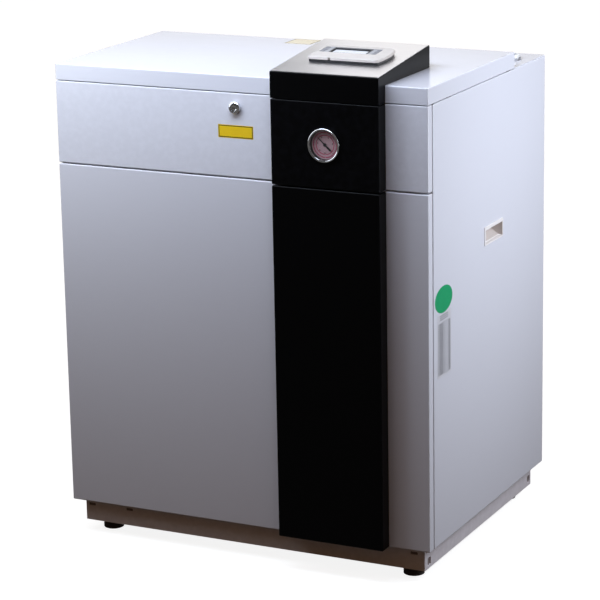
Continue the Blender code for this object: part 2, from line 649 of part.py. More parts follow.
def gauge():
    """A round dial gauge: case with its bright rim, glass, dial and needle."""
    centre = (COLUMN_MIDDLE, COLUMN_FACE, GAUGE_Z)
    rim = -GAUGE_RING_PROUD
    bore = CASE_RADIUS - CASE_WALL
    dial = rim + DIAL_BEHIND_RIM
    floor = dial + DIAL_THICKNESS + FIT
    hole = SPINDLE_RADIUS + FIT
    spindle_end = dial + SPINDLE_LENGTH
    profile = [(0, spindle_end + FIT), (hole, spindle_end + FIT), (hole, floor), (bore, floor), (bore, rim)]
    profile += [(GAUGE_RING_RADIUS - CASE_WALL, rim), (GAUGE_RING_RADIUS, rim + CASE_WALL)]
    profile += [(GAUGE_RING_RADIUS, -FIT), (CASE_RADIUS, -FIT), (CASE_RADIUS, floor + CASE_WALL)]
    profile += [(STEM_RADIUS, floor + CASE_WALL), (STEM_RADIUS, STEM_END), (0, STEM_END)]
    add("gauge_case", lathe(profile, 28, centre, "Y"), CHROME)
    fitted = bore - FIT
    glass = rim + GLASS_SETBACK
    add("gauge_glass", rod(fitted, glass, glass + GLASS_THICKNESS, 28, centre, "Y"), GLASS)
    ring = [(hole, dial), (fitted, dial), (fitted, dial + DIAL_THICKNESS), (hole, dial + DIAL_THICKNESS)]
    add("gauge_dial", lathe(ring, 28, centre, "Y"), DIAL)
    back = dial - NEEDLE_ABOVE_DIAL
    hub = [(0, back - NEEDLE_THICKNESS * 2), (NEEDLE_HUB_RADIUS, back - NEEDLE_THICKNESS * 2)]
    hub += [(NEEDLE_HUB_RADIUS, back), (SPINDLE_RADIUS, back), (SPINDLE_RADIUS, spindle_end), (0, spindle_end)]
    needle = add("gauge_needle", lathe(hub, 12, centre, "Y"), DARK_PLASTIC, origin=centre)
    along = Vector((math.cos(NEEDLE_ANGLE), math.sin(NEEDLE_ANGLE)))
    across = Vector((-along.y, along.x)) * NEEDLE_WIDTH / 2
    middle = Vector((COLUMN_MIDDLE, GAUGE_Z))
    tip, tail = middle + along * NEEDLE_LENGTH, middle - along * NEEDLE_TAIL
    outline = [tip + across / 3, tail + across * 1.5, tail - across * 1.5, tip - across / 3]
    join(needle, prism([tuple(p) for p in outline], "Y", COLUMN_FACE + back - NEEDLE_THICKNESS, COLUMN_FACE + back))


service_door()
lock()
gauge()


# Control box behind the service door, and what it holds
BOX_DEPTH = 0.150
BOX_TOP_GAP = 0.006
BOX_HEIGHT = 0.150
BOX_SHEET = 0.0012
BOX_HALF = POST_INNER - FIT
BOX_TOP = UPPER_TOP - BOX_TOP_GAP
BOX_BOTTOM = BOX_TOP - BOX_HEIGHT
BOX_BACK = BOX_FRONT + BOX_DEPTH
KEEPER_WIDTH = 0.040
KEEPER_CLEARANCE = 0.002
RAIL_WIDTH = 0.035
RAIL_HEIGHT = 0.0075
RAIL_SHEET = 0.001
RAIL_MARGIN = 0.039
RAIL_LENGTH = 0.260
RAIL_X0 = RAIL_MARGIN - BOX_HALF
RAIL_X1 = RAIL_X0 + RAIL_LENGTH
RAIL_RISE = 0.070
RAIL_Z = BOX_BOTTOM + RAIL_RISE
DEVICE_DEPTH = 0.062


def control_box():
    """A shelf box open to the front, with a keeper for the lock's cam at its upper edge."""
    low, high = (-BOX_HALF, BOX_FRONT, BOX_BOTTOM), (BOX_HALF, BOX_BACK, BOX_TOP)
    box = add("control_box", pan(low, high, "-Y", BOX_SHEET, segments=1), ZINC)
    keeper_low = (LOCK_X - KEEPER_WIDTH / 2, BOX_FRONT, LOCK_Z + CAM_WIDTH / 2 + KEEPER_CLEARANCE)
    join(box, block(keeper_low, (LOCK_X + KEEPER_WIDTH / 2, BOX_FRONT + KEEPER_SHEET, BOX_TOP - BOX_SHEET / 2)))
    return box


def din_rail():
    """A top-hat rail on the box's back wall."""
    back = BOX_BACK - BOX_SHEET - FIT
    half, hat = RAIL_WIDTH / 2, RAIL_WIDTH * 0.36
    front = back - RAIL_HEIGHT
    outline = [(front, -half), (front, -hat), (back - RAIL_SHEET, -hat), (back - RAIL_SHEET, hat), (front, hat)]
    outline += [(front, half), (front + RAIL_SHEET, half), (front + RAIL_SHEET, hat + RAIL_SHEET)]
    outline += [(back, hat + RAIL_SHEET), (back, -hat - RAIL_SHEET)]
    outline += [(front + RAIL_SHEET, -hat - RAIL_SHEET), (front + RAIL_SHEET, -half)]
    placed = [(y, RAIL_Z + z) for y, z in outline]
    return add("din_rail", prism(placed, "X", RAIL_X0, RAIL_X1), ZINC)


DEVICE_BACK = BOX_BACK - BOX_SHEET - FIT - RAIL_HEIGHT - FIT
DEVICE_FRONT = DEVICE_BACK - DEVICE_DEPTH
NOSE_DEPTH = 0.012
DEVICE_HALF = 0.0425
NOSE_HALF = 0.0225


def rail_device(name, x0, width, material):
    """A modular device: a body with a raised nose, clipped to the rail."""
    outline = [(DEVICE_BACK, -DEVICE_HALF), (DEVICE_FRONT + NOSE_DEPTH, -DEVICE_HALF)]
    outline += [(DEVICE_FRONT + NOSE_DEPTH, -NOSE_HALF), (DEVICE_FRONT, -NOSE_HALF), (DEVICE_FRONT, NOSE_HALF)]
    outline += [(DEVICE_FRONT + NOSE_DEPTH, NOSE_HALF), (DEVICE_FRONT + NOSE_DEPTH, DEVICE_HALF)]
    outline += [(DEVICE_BACK, DEVICE_HALF)]
    placed = [(y, RAIL_Z + z) for y, z in outline]
    return add(name, prism(placed, "X", x0, x0 + width), material)


DEVICE_GAP = 0.024
BREAKER_X0 = RAIL_X0 + DEVICE_GAP / 2
BREAKER_WIDTH = 0.036
TOGGLE_WIDTH = 0.024
TOGGLE_RADIUS = 0.006
TOGGLE_LEVER = 0.011
TOGGLE_THICKNESS = 0.003
TOGGLE_REST = math.radians(25)
CONTACTOR_X0 = BREAKER_X0 + BREAKER_WIDTH + DEVICE_GAP
CONTACTOR_WIDTH = 0.045
TERMINAL_X0 = CONTACTOR_X0 + CONTACTOR_WIDTH + DEVICE_GAP
TERMINAL_WAY = 0.010
TERMINAL_WAYS = 10
TERMINAL_DEPTH = 0.040
TERMINAL_GROOVE = 0.0012
TERMINAL_HALF = 0.025


def circuit_breaker():
    body = rail_device("circuit_breaker", BREAKER_X0, BREAKER_WIDTH, IVORY)
    middle = BREAKER_X0 + BREAKER_WIDTH / 2
    pivot = (middle, DEVICE_FRONT + TOGGLE_RADIUS / 2, RAIL_Z)
    half = TOGGLE_WIDTH / 2
    start, stop = middle - half - FIT, middle + half + FIT
    cut(body, rod(TOGGLE_RADIUS + FIT, start, stop, 16, (0, pivot[1], pivot[2]), "X"))
    drum = rod(TOGGLE_RADIUS, middle - half, middle + half, 16, (0, pivot[1], pivot[2]), "X")
    toggle = add("breaker_toggle", drum, DARK_PLASTIC, origin=pivot)
    reach = TOGGLE_RADIUS + TOGGLE_LEVER
    out = Vector((-math.cos(TOGGLE_REST), math.sin(TOGGLE_REST)))
    across = Vector((out.y, -out.x)) * TOGGLE_THICKNESS / 2
    foot = Vector(pivot[1:])
    outline = [foot + across, foot + out * reach + across, foot + out * reach - across, foot - across]
    join(toggle, prism([tuple(p) for p in outline], "X", middle - half, middle + half))
    return body


def contactor():
    """The compressor's contactor, with a narrower armature guide on its nose."""
    body = rail_device("contactor", CONTACTOR_X0, CONTACTOR_WIDTH, DARK_PLASTIC)
    middle = CONTACTOR_X0 + CONTACTOR_WIDTH / 2
    low = (middle - CONTACTOR_WIDTH / 4, DEVICE_FRONT - NOSE_DEPTH / 2, RAIL_Z - NOSE_HALF / 2)
    high = (middle + CONTACTOR_WIDTH / 4, DEVICE_FRONT + NOSE_DEPTH, RAIL_Z + NOSE_HALF / 2)
    return join(body, block(low, high))


def terminal_block():
    """Ten screw terminals side by side, parted by shallow grooves."""
    stop = TERMINAL_X0 + TERMINAL_WAYS * TERMINAL_WAY
    front = DEVICE_BACK - TERMINAL_DEPTH
    low = (TERMINAL_X0, front, RAIL_Z - TERMINAL_HALF)
    strip = add("terminal_block", block(low, (stop, DEVICE_BACK, RAIL_Z + TERMINAL_HALF)), GREY_PLASTIC)
    for way in range(1, TERMINAL_WAYS):
        x = TERMINAL_X0 + way * TERMINAL_WAY
        low = (x - TERMINAL_GROOVE / 2, front - OVERRUN, RAIL_Z - TERMINAL_HALF - OVERRUN)
        high = (x + TERMINAL_GROOVE / 2, front + TERMINAL_GROOVE * 2, RAIL_Z + TERMINAL_HALF + OVERRUN)
        cut(strip, block(low, high))
    return strip


BOARD_WIDTH = 0.220
BOARD_MARGIN = 0.080
BOARD_X0 = BOX_HALF - BOARD_MARGIN - BOARD_WIDTH
BOARD_HEIGHT = 0.110
BOARD_THICKNESS = 0.0016
STANDOFF = 0.010
STANDOFF_RADIUS = 0.003
STANDOFF_INSET = 0.008
BOARD_RISE = 0.020
BOARD_Z0 = BOX_BOTTOM + BOARD_RISE
RELAY_SIZE = (0.019, 0.015, 0.016)
RELAY_COUNT = 5
RELAY_PITCH = 0.026
PLUG_STRIP = (0.170, 0.011, 0.010)


def control_board():
    """The controller's circuit board on four standoffs, with its relays and its plug strip."""
    back = BOX_BACK - BOX_SHEET - FIT
    y1 = back - STANDOFF
    y0 = y1 - BOARD_THICKNESS
    x1, z1 = BOARD_X0 + BOARD_WIDTH, BOARD_Z0 + BOARD_HEIGHT
    board = add("control_board", block((BOARD_X0, y0, BOARD_Z0), (x1, y1, z1)), BOARD)
    for x in (BOARD_X0 + STANDOFF_INSET, x1 - STANDOFF_INSET):
        for z in (BOARD_Z0 + STANDOFF_INSET, z1 - STANDOFF_INSET):
            join(board, rod(STANDOFF_RADIUS, y0 + BOARD_THICKNESS / 2, back, 8, (x, 0, z), "Y"))
    width, depth, height = RELAY_SIZE
    for number in range(RELAY_COUNT):
        x = BOARD_X0 + 2 * STANDOFF_INSET + number * RELAY_PITCH
        z = z1 - 2 * STANDOFF_INSET - height
        join(board, block((x, y0 - depth, z), (x + width, y0 + BOARD_THICKNESS / 2, z + height)))
    width, depth, height = PLUG_STRIP
    x, z = BOARD_X0 + 2 * STANDOFF_INSET, BOARD_Z0 + STANDOFF_INSET / 2
    return join(board, block((x, y0 - depth, z), (x + width, y0 + BOARD_THICKNESS / 2, z + height)))


control_box()
din_rail()
circuit_breaker()
contactor()
terminal_block()
control_board()


# Console on the lid: housing, bright top plate and the controller on its slope
CONSOLE_BASE = LID_TOP + FIT
CONSOLE_FRONT_TOP = LID_TOP + CONSOLE_RISE
CONSOLE_BACK = COLUMN_FACE + CONSOLE_LENGTH
CONSOLE_BACK_TOP = CONSOLE_FRONT_TOP + CONSOLE_LENGTH * math.tan(CONSOLE_SLOPE)
CONSOLE_EDGE = 0.001


def console_housing():
    """A wedge open below: its apron hangs before the lid's lip and its body stands on the lid."""
    outline = [(COLUMN_FACE, LID_BOTTOM), (COLUMN_FACE, CONSOLE_FRONT_TOP), (CONSOLE_BACK, CONSOLE_BACK_TOP)]
    outline += [(CONSOLE_BACK, CONSOLE_BASE), (FRONT - FIT, CONSOLE_BASE), (FRONT - FIT, LID_BOTTOM)]
    shell = prism(outline, "X", COLUMN_X0, COLUMN_X1)
    upper = lambda a, b: min(a.z, b.z) > CONSOLE_BASE + FIT
    housing = add("console_housing", round_edges(shell, CONSOLE_EDGE, 2, upper), BLACK)
    wall = CONSOLE_WALL
    y0, y1 = COLUMN_FACE + wall, CONSOLE_BACK - wall
    top0 = CONSOLE_FRONT_TOP - wall
    top1 = top0 + (y1 - y0) * math.tan(CONSOLE_SLOPE)
    hollow = [(y0, LID_BOTTOM - OVERRUN), (y0, top0), (y1, top1), (y1, LID_BOTTOM - OVERRUN)]
    return cut(housing, prism(hollow, "X", COLUMN_X0 + wall, COLUMN_X1 - wall))


def console_slope():
    """An empty on the housing's upper front edge, its Y up the slope and its Z square to it."""
    slope = bpy.data.objects.new("console_slope", None)
    bpy.context.scene.collection.objects.link(slope)
    slope.location = (COLUMN_MIDDLE, COLUMN_FACE, CONSOLE_FRONT_TOP)
    slope.rotation_euler = (CONSOLE_SLOPE, 0, 0)
    return slope


PLATE_LENGTH = CONSOLE_LENGTH / math.cos(CONSOLE_SLOPE)
PLATE_TOP = FIT + PLATE_THICKNESS
CONTROLLER_SHIFT = 0.0055
CONTROLLER_WIDTH = 0.144
CONTROLLER_START = 0.072
CONTROLLER_DEPTH = 0.088
CONTROLLER_BASE_HEIGHT = 0.0045
CONTROLLER_BASE_INSET = 0.0015
SHELL_HEIGHT = 0.0062
SHELL_WALL = 0.002
FRONT_LEFT_RADIUS = 0.003
FRONT_RIGHT_RADIUS = 0.006
BACK_RIGHT_RADIUS = 0.012
BACK_LEFT_RADIUS = 0.005
SHELL_RADII = (FRONT_LEFT_RADIUS, FRONT_RIGHT_RADIUS, BACK_RIGHT_RADIUS, BACK_LEFT_RADIUS)
SHELL_BULGE = 0.008
BULGE_SHARES = (0.25, 0.5, 0.75)
KEYPAD_SHIFT = -0.0065
KEYPAD_HALF_WIDTH = 0.0595
KEYPAD_START = 0.0345
KEYPAD_DEPTH = 0.043
WINDOW_MIDDLE = 0.0525
KEYPAD_SINK = 0.0008
WINDOW_HALF_WIDTH = 0.040
WINDOW_HALF_DEPTH = 0.0172
WINDOW_SINK = 0.0012
KEY_COLUMN = 0.0535
KEY_PITCH = 0.0125
KEY_HALF_WIDTH = 0.0035
KEY_HALF_DEPTH = 0.0045
KEY_PROUD = 0.0007
KEY_TRAVEL = 0.0006
KEYS = ("menu", "program", "escape", "up", "enter", "down")


def shell_outline(inset):
    """The controller's outline, drawn in by the inset: its right side bulges, its corners are unlike."""
    x0 = CONTROLLER_SHIFT - CONTROLLER_WIDTH / 2 + inset
    x1 = x0 + CONTROLLER_WIDTH - 2 * inset
    y0, y1 = CONTROLLER_START + inset, CONTROLLER_START + CONTROLLER_DEPTH - inset
    outline = rounded_outline(x0, x1, y0, y1, SHELL_RADII)
    half = len(outline) // 2
    outline[half:half] = [(x1, y0 + (y1 - y0) * share) for share in BULGE_SHARES]
    bulged = []
    for x, y in outline:
        across = (2 * y - y0 - y1) / (y1 - y0)
        bulged.append((x + SHELL_BULGE * (1 - across ** 2), y) if x > CONTROLLER_SHIFT else (x, y))
    return bulged


def controller(slope):
    """The wall controller: a dark base, a silver shell with a sunk keypad, a window and six keys."""
    outline = shell_outline(CONTROLLER_BASE_INSET)
    base_bottom = PLATE_TOP + FIT
    base_top = base_bottom + CONTROLLER_BASE_HEIGHT
    add("controller_base", prism(outline, "Z", base_bottom, base_top), DARK_PLASTIC, slope)
    shell_bottom = base_top + FIT
    shell_top = shell_bottom + SHELL_HEIGHT
    shell = prism(shell_outline(0), "Z", shell_bottom, shell_top)
    rim = lambda a, b: min(a.z, b.z) > shell_top - FIT
    shell = add("controller_shell", round_edges(shell, CONSOLE_EDGE, 1, rim), SILVER_PLASTIC, slope)
    ceiling = shell_top - KEYPAD_SINK - SHELL_WALL
    cut(shell, prism(shell_outline(SHELL_WALL), "Z", shell_bottom - OVERRUN, ceiling))
    middle_x = CONTROLLER_SHIFT + KEYPAD_SHIFT
    middle_y = CONTROLLER_START + WINDOW_MIDDLE
    keypad_y = CONTROLLER_START + KEYPAD_START
    floor = shell_top - KEYPAD_SINK
    low = (middle_x - KEYPAD_HALF_WIDTH, keypad_y, floor)
    high = (middle_x + KEYPAD_HALF_WIDTH, keypad_y + KEYPAD_DEPTH, floor + OVERRUN)
    cut(shell, block(low, high))
    half_x, half_y = WINDOW_HALF_WIDTH, WINDOW_HALF_DEPTH
    low = (middle_x - half_x - FIT, middle_y - half_y - FIT, shell_bottom - OVERRUN)
    cut(shell, block(low, (middle_x + half_x + FIT, middle_y + half_y + FIT, shell_top + OVERRUN)))
    low = (middle_x - half_x, middle_y - half_y, base_top + FIT)
    high = (middle_x + half_x, middle_y + half_y, shell_top - WINDOW_SINK)
    add("display_window", block(low, high), DARK_PLASTIC, slope)
    key_bottom = base_top + FIT + KEY_TRAVEL
    for number, key in enumerate(KEYS):
        x = middle_x + (KEY_COLUMN if number > 2 else -KEY_COLUMN)
        y = middle_y + (1 - number % 3) * KEY_PITCH
        low = (x - KEY_HALF_WIDTH, y - KEY_HALF_DEPTH, key_bottom)
        high = (x + KEY_HALF_WIDTH, y + KEY_HALF_DEPTH, floor + KEY_PROUD)
        name = f"key_{key}"
        add(name, rounded_block(low, high, KEY_PROUD / 2), GREY_PLASTIC, slope, origin=(x, y, key_bottom))
        low = (low[0] - FIT, low[1] - FIT, shell_bottom - OVERRUN)
        cut(shell, block(low, (high[0] + FIT, high[1] + FIT, shell_top + OVERRUN)))


def console_plate(slope):
    half = COLUMN_WIDTH / 2 - PLATE_MARGIN
    low, high = (-half, PLATE_MARGIN, FIT), (half, PLATE_LENGTH - PLATE_MARGIN, PLATE_TOP)
    return add("console_top_plate", rounded_block(low, high, PLATE_THICKNESS / 3), BRUSHED, slope)


console_housing()
console_frame = console_slope()
console_plate(console_frame)
controller(console_frame)


# Refrigeration circuit on the base pan
FLOOR = BASE_TOP + FIT
PORT_OFFSET = 0.030
CONDENSER_X = FLOW_PORT_X - PORT_OFFSET
EVAPORATOR_X = SOURCE_IN_PORT_X - PORT_OFFSET
COMPRESSOR_TO_CONDENSER = 0.215
COMPRESSOR_X = CONDENSER_X - COMPRESSOR_TO_CONDENSER
COMPRESSOR_FROM_BACK = 0.326
COMPRESSOR_Y = BACK - COMPRESSOR_FROM_BACK
COMPRESSOR_RADIUS = 0.085
COMPRESSOR_HEIGHT = 0.400
MOUNT_HEIGHT = 0.025
MOUNT_RADIUS = 0.016
FEET_HALF = 0.100
FEET_THICKNESS = 0.004
DOME = 0.035
SUCTION_RADIUS = 0.008
DISCHARGE_RADIUS = 0.006
STUB = 0.015
SUCTION_STUB_SHARE = 0.5
TUBE_WALL = 0.001


def compressor():
    """A hermetic scroll compressor on four rubber mounts, with its suction and discharge stubs."""
    bottom = FLOOR + MOUNT_HEIGHT
    top = bottom + COMPRESSOR_HEIGHT
    r, centre = COMPRESSOR_RADIUS, (COMPRESSOR_X, COMPRESSOR_Y, 0)
    waist = r - DOME / 4
    profile = [(0, bottom), (r * 0.75, bottom), (waist, bottom + DOME / 2), (r, bottom + DOME)]
    profile += [(r, top - DOME), (waist, top - DOME / 2), (r * 0.6, top - DOME / 8), (0, top)]
    body = add("compressor", lathe(profile, 24, centre), SHELL_BLACK)
    plate = bottom - FEET_THICKNESS / 2
    low = (COMPRESSOR_X - FEET_HALF, COMPRESSOR_Y - FEET_HALF, plate)
    join(body, block(low, (COMPRESSOR_X + FEET_HALF, COMPRESSOR_Y + FEET_HALF, plate + FEET_THICKNESS)))
    reach = FEET_HALF - MOUNT_RADIUS
    for dx in (-reach, reach):
        for dy in (-reach, reach):
            spot = (COMPRESSOR_X + dx, COMPRESSOR_Y + dy, 0)
            join(body, rod(MOUNT_RADIUS, FLOOR, bottom, 10, spot))
    join(body, rod(DISCHARGE_RADIUS, top - DOME, top + STUB, 8, centre))
    suction_z = bottom + COMPRESSOR_HEIGHT * SUCTION_STUB_SHARE
    stub = rod(SUCTION_RADIUS, r - STUB, r + STUB, 8, (COMPRESSOR_X, COMPRESSOR_Y, suction_z), "X")
    return join(body, stub)


EXCHANGER_FROM_BACK = 0.276
EXCHANGER_Y0 = BACK - EXCHANGER_FROM_BACK
EXCHANGER_WIDTH = 0.120
EXCHANGER_DEPTH = 0.100
EXCHANGER_HEIGHT = 0.330
BRACKET_HEIGHT = 0.024
BRACKET_MARGIN = 0.010
NOZZLE = 0.015
WATER_RADIUS = 0.014
GAS_RADIUS = 0.008
PLATE_GROOVES = 6
GROOVE_DEPTH = 0.002
EXCHANGER_Z0 = FLOOR + BRACKET_HEIGHT + FIT
LOW_PORT_Z = EXCHANGER_Z0 + PORT_OFFSET
HIGH_PORT_Z = EXCHANGER_Z0 + EXCHANGER_HEIGHT - PORT_OFFSET
NOZZLE_FACE = EXCHANGER_Y0 - NOZZLE
PIPE_START = NOZZLE_FACE - FIT


def plate_exchanger(name, x):
    """A brazed plate heat exchanger: a ribbed pack of plates with four nozzles on its front plate."""
    low = (x - EXCHANGER_WIDTH / 2, EXCHANGER_Y0, EXCHANGER_Z0)
    high = (x + EXCHANGER_WIDTH / 2, EXCHANGER_Y0 + EXCHANGER_DEPTH, EXCHANGER_Z0 + EXCHANGER_HEIGHT)
    upright = lambda a, b: abs(a.x - b.x) < FIT and abs(a.z - b.z) < FIT
    pack = add(name, rounded_block(low, high, EXCHANGER_WIDTH / 8, 2, upright), STAINLESS)
    pitch = EXCHANGER_DEPTH / (PLATE_GROOVES + 1)
    for number in range(1, PLATE_GROOVES + 1):
        y = EXCHANGER_Y0 + number * pitch
        for side in (-1, 1):
            wall = x + side * EXCHANGER_WIDTH / 2
            groove_low = (wall - GROOVE_DEPTH, y, EXCHANGER_Z0 + PORT_OFFSET)
            groove_high = (wall + GROOVE_DEPTH, y + pitch / 3, EXCHANGER_Z0 + EXCHANGER_HEIGHT - PORT_OFFSET)
            cut(pack, block(groove_low, groove_high))
    for dx, radius in ((-PORT_OFFSET, GAS_RADIUS), (PORT_OFFSET, WATER_RADIUS)):
        for z in (LOW_PORT_Z, HIGH_PORT_Z):
            join(pack, rod(radius, -NOZZLE, NOZZLE, 12, (x + dx, EXCHANGER_Y0, z), "Y"))
    return pack


def exchanger_bracket():
    x0 = CONDENSER_X - EXCHANGER_WIDTH / 2 - BRACKET_MARGIN
    x1 = EVAPORATOR_X + EXCHANGER_WIDTH / 2 + BRACKET_MARGIN
    y0, y1 = EXCHANGER_Y0 + BRACKET_MARGIN, EXCHANGER_Y0 + EXCHANGER_DEPTH - BRACKET_MARGIN
    return add("exchanger_bracket", pan((x0, y0, FLOOR), (x1, y1, FLOOR + BRACKET_HEIGHT), "-Z", segments=1), ZINC)


DISCHARGE_TOP = 0.060
PIPE_BEND = 0.018
GAS_FORWARD = 0.075
SUCTION_LANE = 0.030


def gas_pipes():
    """Discharge line from the compressor to the condenser and suction line back from the evaporator."""
    top = FLOOR + MOUNT_HEIGHT + COMPRESSOR_HEIGHT
    gas_x = CONDENSER_X - PORT_OFFSET
    level = top + DISCHARGE_TOP
    route = [(COMPRESSOR_X, COMPRESSOR_Y, top + STUB + FIT), (COMPRESSOR_X, COMPRESSOR_Y, level)]
    route += [(gas_x, COMPRESSOR_Y, level), (gas_x, COMPRESSOR_Y, HIGH_PORT_Z), (gas_x, PIPE_START, HIGH_PORT_Z)]
    path = bent_path(route, PIPE_BEND)
    add("discharge_pipe", tube(path, DISCHARGE_RADIUS, DISCHARGE_RADIUS - TUBE_WALL, 8), COPPER)
    gas_x = EVAPORATOR_X - PORT_OFFSET
    stub_z = FLOOR + MOUNT_HEIGHT + COMPRESSOR_HEIGHT * SUCTION_STUB_SHARE
    stub_x = COMPRESSOR_X + COMPRESSOR_RADIUS + STUB + FIT
    forward = NOZZLE_FACE - GAS_FORWARD
    lane = stub_x + SUCTION_LANE
    route = [(gas_x, PIPE_START, HIGH_PORT_Z), (gas_x, forward, HIGH_PORT_Z), (lane, forward, HIGH_PORT_Z)]
    route += [(lane, forward, stub_z), (lane, COMPRESSOR_Y, stub_z), (stub_x, COMPRESSOR_Y, stub_z)]
    path = bent_path(route, PIPE_BEND)
    add("suction_pipe", tube(path, SUCTION_RADIUS, SUCTION_RADIUS - TUBE_WALL, 8), COPPER)


LIQUID_RADIUS = 0.005
LIQUID_BEND = 0.010
LIQUID_FORWARD = 0.015
DRIER_RISE = 0.080
DRIER_RADIUS = 0.020
DRIER_LENGTH = 0.090
DRIER_CONE = 0.015
DRIER_X0 = CONDENSER_X
VALVE_RADIUS = 0.014
VALVE_BODY = 0.026
VALVE_HEAD = 0.045


def liquid_line():
    """Liquid line from the condenser through the drier to the expansion valve over the evaporator's inlet."""
    y = PIPE_START - LIQUID_FORWARD
    z = LOW_PORT_Z + DRIER_RISE
    gas_x = CONDENSER_X - PORT_OFFSET
    route = [(gas_x, PIPE_START, LOW_PORT_Z), (gas_x, y, LOW_PORT_Z), (gas_x, y, z), (DRIER_X0 - FIT, y, z)]
    path = bent_path(route, LIQUID_BEND)
    add("liquid_pipe", tube(path, LIQUID_RADIUS, LIQUID_RADIUS - TUBE_WALL, 8), COPPER)
    stop = DRIER_X0 + DRIER_LENGTH
    profile = [(0, DRIER_X0), (LIQUID_RADIUS, DRIER_X0), (DRIER_RADIUS, DRIER_X0 + DRIER_CONE)]
    profile += [(DRIER_RADIUS, stop - DRIER_CONE), (LIQUID_RADIUS, stop), (0, stop)]
    add("filter_drier", lathe(profile, 12, (0, y, z), "X"), SHELL_BLACK)
    valve_x = EVAPORATOR_X - PORT_OFFSET
    valve = add("expansion_valve", rod(LIQUID_RADIUS, stop + FIT, valve_x, 8, (0, y, z), "X"), BRASS)
    body_low = z - VALVE_BODY / 2
    head = [(0, body_low), (VALVE_RADIUS, body_low), (VALVE_RADIUS, z + VALVE_BODY / 2)]
    head += [(VALVE_RADIUS / 2, z + VALVE_BODY / 2), (VALVE_RADIUS / 2, z + VALVE_HEAD), (VALVE_RADIUS, z + VALVE_HEAD)]
    head += [(VALVE_RADIUS, z + VALVE_HEAD + LIQUID_RADIUS), (0, z + VALVE_HEAD + LIQUID_RADIUS)]
    join(valve, lathe(head, 12, (valve_x, y, 0)))
    outlet = [(valve_x, y, z), (valve_x, y, LOW_PORT_Z), (valve_x, PIPE_START, LOW_PORT_Z)]
    join(valve, tube(bent_path(outlet, LIQUID_BEND), LIQUID_RADIUS, 0, 8))


compressor()
plate_exchanger("condenser", CONDENSER_X)
plate_exchanger("evaporator", EVAPORATOR_X)
exchanger_bracket()
gas_pipes()
liquid_line()


# Water circuits: four pipes with sockets on the rear deck, and the heating pump
WATER_BEND = 0.030
WATER_WALL = 0.0015
WATER_FORWARD = 0.045
WATER_LEVEL = 0.640
SOCKET_BORE = 0.0175
SOCKET_DEPTH = 0.020
SOCKET_LENGTH = 0.032
SOCKET_TOP = DECK_TOP + PORT_PROUD
SOCKET_LEVELS = (SOCKET_TOP - SOCKET_LENGTH, SOCKET_TOP - SOCKET_DEPTH, SOCKET_TOP)
PUMP_Z = 0.430
VOLUTE_RADIUS = 0.048
VOLUTE_HALF = 0.021
VOLUTE_WALL = 0.005
PUMP_PORT_REACH = 0.065
PUMP_NECK_RADIUS = 0.018
PUMP_FLANGE_RADIUS = 0.024
PUMP_FLANGE = 0.010
MOTOR_RADIUS = 0.044
MOTOR_LENGTH = 0.095
SHAFT_RADIUS = 0.005
SHAFT_IN_MOTOR = 0.040
ROTOR_RADIUS = 0.038
ROTOR_HALF = 0.009
VANES = 6
VANE_THICKNESS = 0.002
RUNNING_GAP = 0.0005


def water_pipe(name, points):
    """A copper water pipe that ends upwards in a female socket on the rear deck."""
    path = bent_path(points, WATER_BEND)
    end = path.pop()
    shoulder, floor, top = (Vector((end.x, end.y, z)) for z in SOCKET_LEVELS)
    outer = [(p, WATER_RADIUS) for p in path] + [(shoulder, WATER_RADIUS), (shoulder, PORT_RADIUS)]
    bore = WATER_RADIUS - WATER_WALL
    inner = [(p, bore) for p in path] + [(floor, bore), (floor, SOCKET_BORE)]
    return add(name, hollow_pipe(outer + [(top, PORT_RADIUS)], inner + [(top, SOCKET_BORE)], 12), COPPER)


def water_pipes():
    forward = NOZZLE_FACE - WATER_FORWARD
    end = SOCKET_TOP
    for name, x in (("heating_flow_pipe", CONDENSER_X), ("source_inlet_pipe", EVAPORATOR_X)):
        x += PORT_OFFSET
        route = [(x, PIPE_START, HIGH_PORT_Z), (x, forward, HIGH_PORT_Z), (x, forward, WATER_LEVEL)]
        water_pipe(name, route + [(x, PORT_Y, WATER_LEVEL), (x, PORT_Y, end)])
    x = EVAPORATOR_X + PORT_OFFSET
    lane = SOURCE_OUT_PORT_X
    route = [(x, PIPE_START, LOW_PORT_Z), (x, forward, LOW_PORT_Z), (lane, forward, LOW_PORT_Z)]
    water_pipe("source_outlet_pipe", route + [(lane, PORT_Y, LOW_PORT_Z), (lane, PORT_Y, end)])
    pump_top = PUMP_Z + PUMP_PORT_REACH + FIT
    water_pipe("heating_return_pipe", [(RETURN_PORT_X, PORT_Y, pump_top), (RETURN_PORT_X, PORT_Y, end)])
    pump_bottom = PUMP_Z - PUMP_PORT_REACH - FIT
    x = CONDENSER_X + PORT_OFFSET
    route = [(RETURN_PORT_X, PORT_Y, pump_bottom), (RETURN_PORT_X, PORT_Y, LOW_PORT_Z)]
    route += [(RETURN_PORT_X, forward, LOW_PORT_Z), (x, forward, LOW_PORT_Z), (x, PIPE_START, LOW_PORT_Z)]
    path = bent_path(route, WATER_BEND / 2)
    add("pump_outlet_pipe", tube(path, WATER_RADIUS, WATER_RADIUS - WATER_WALL, 10), COPPER)


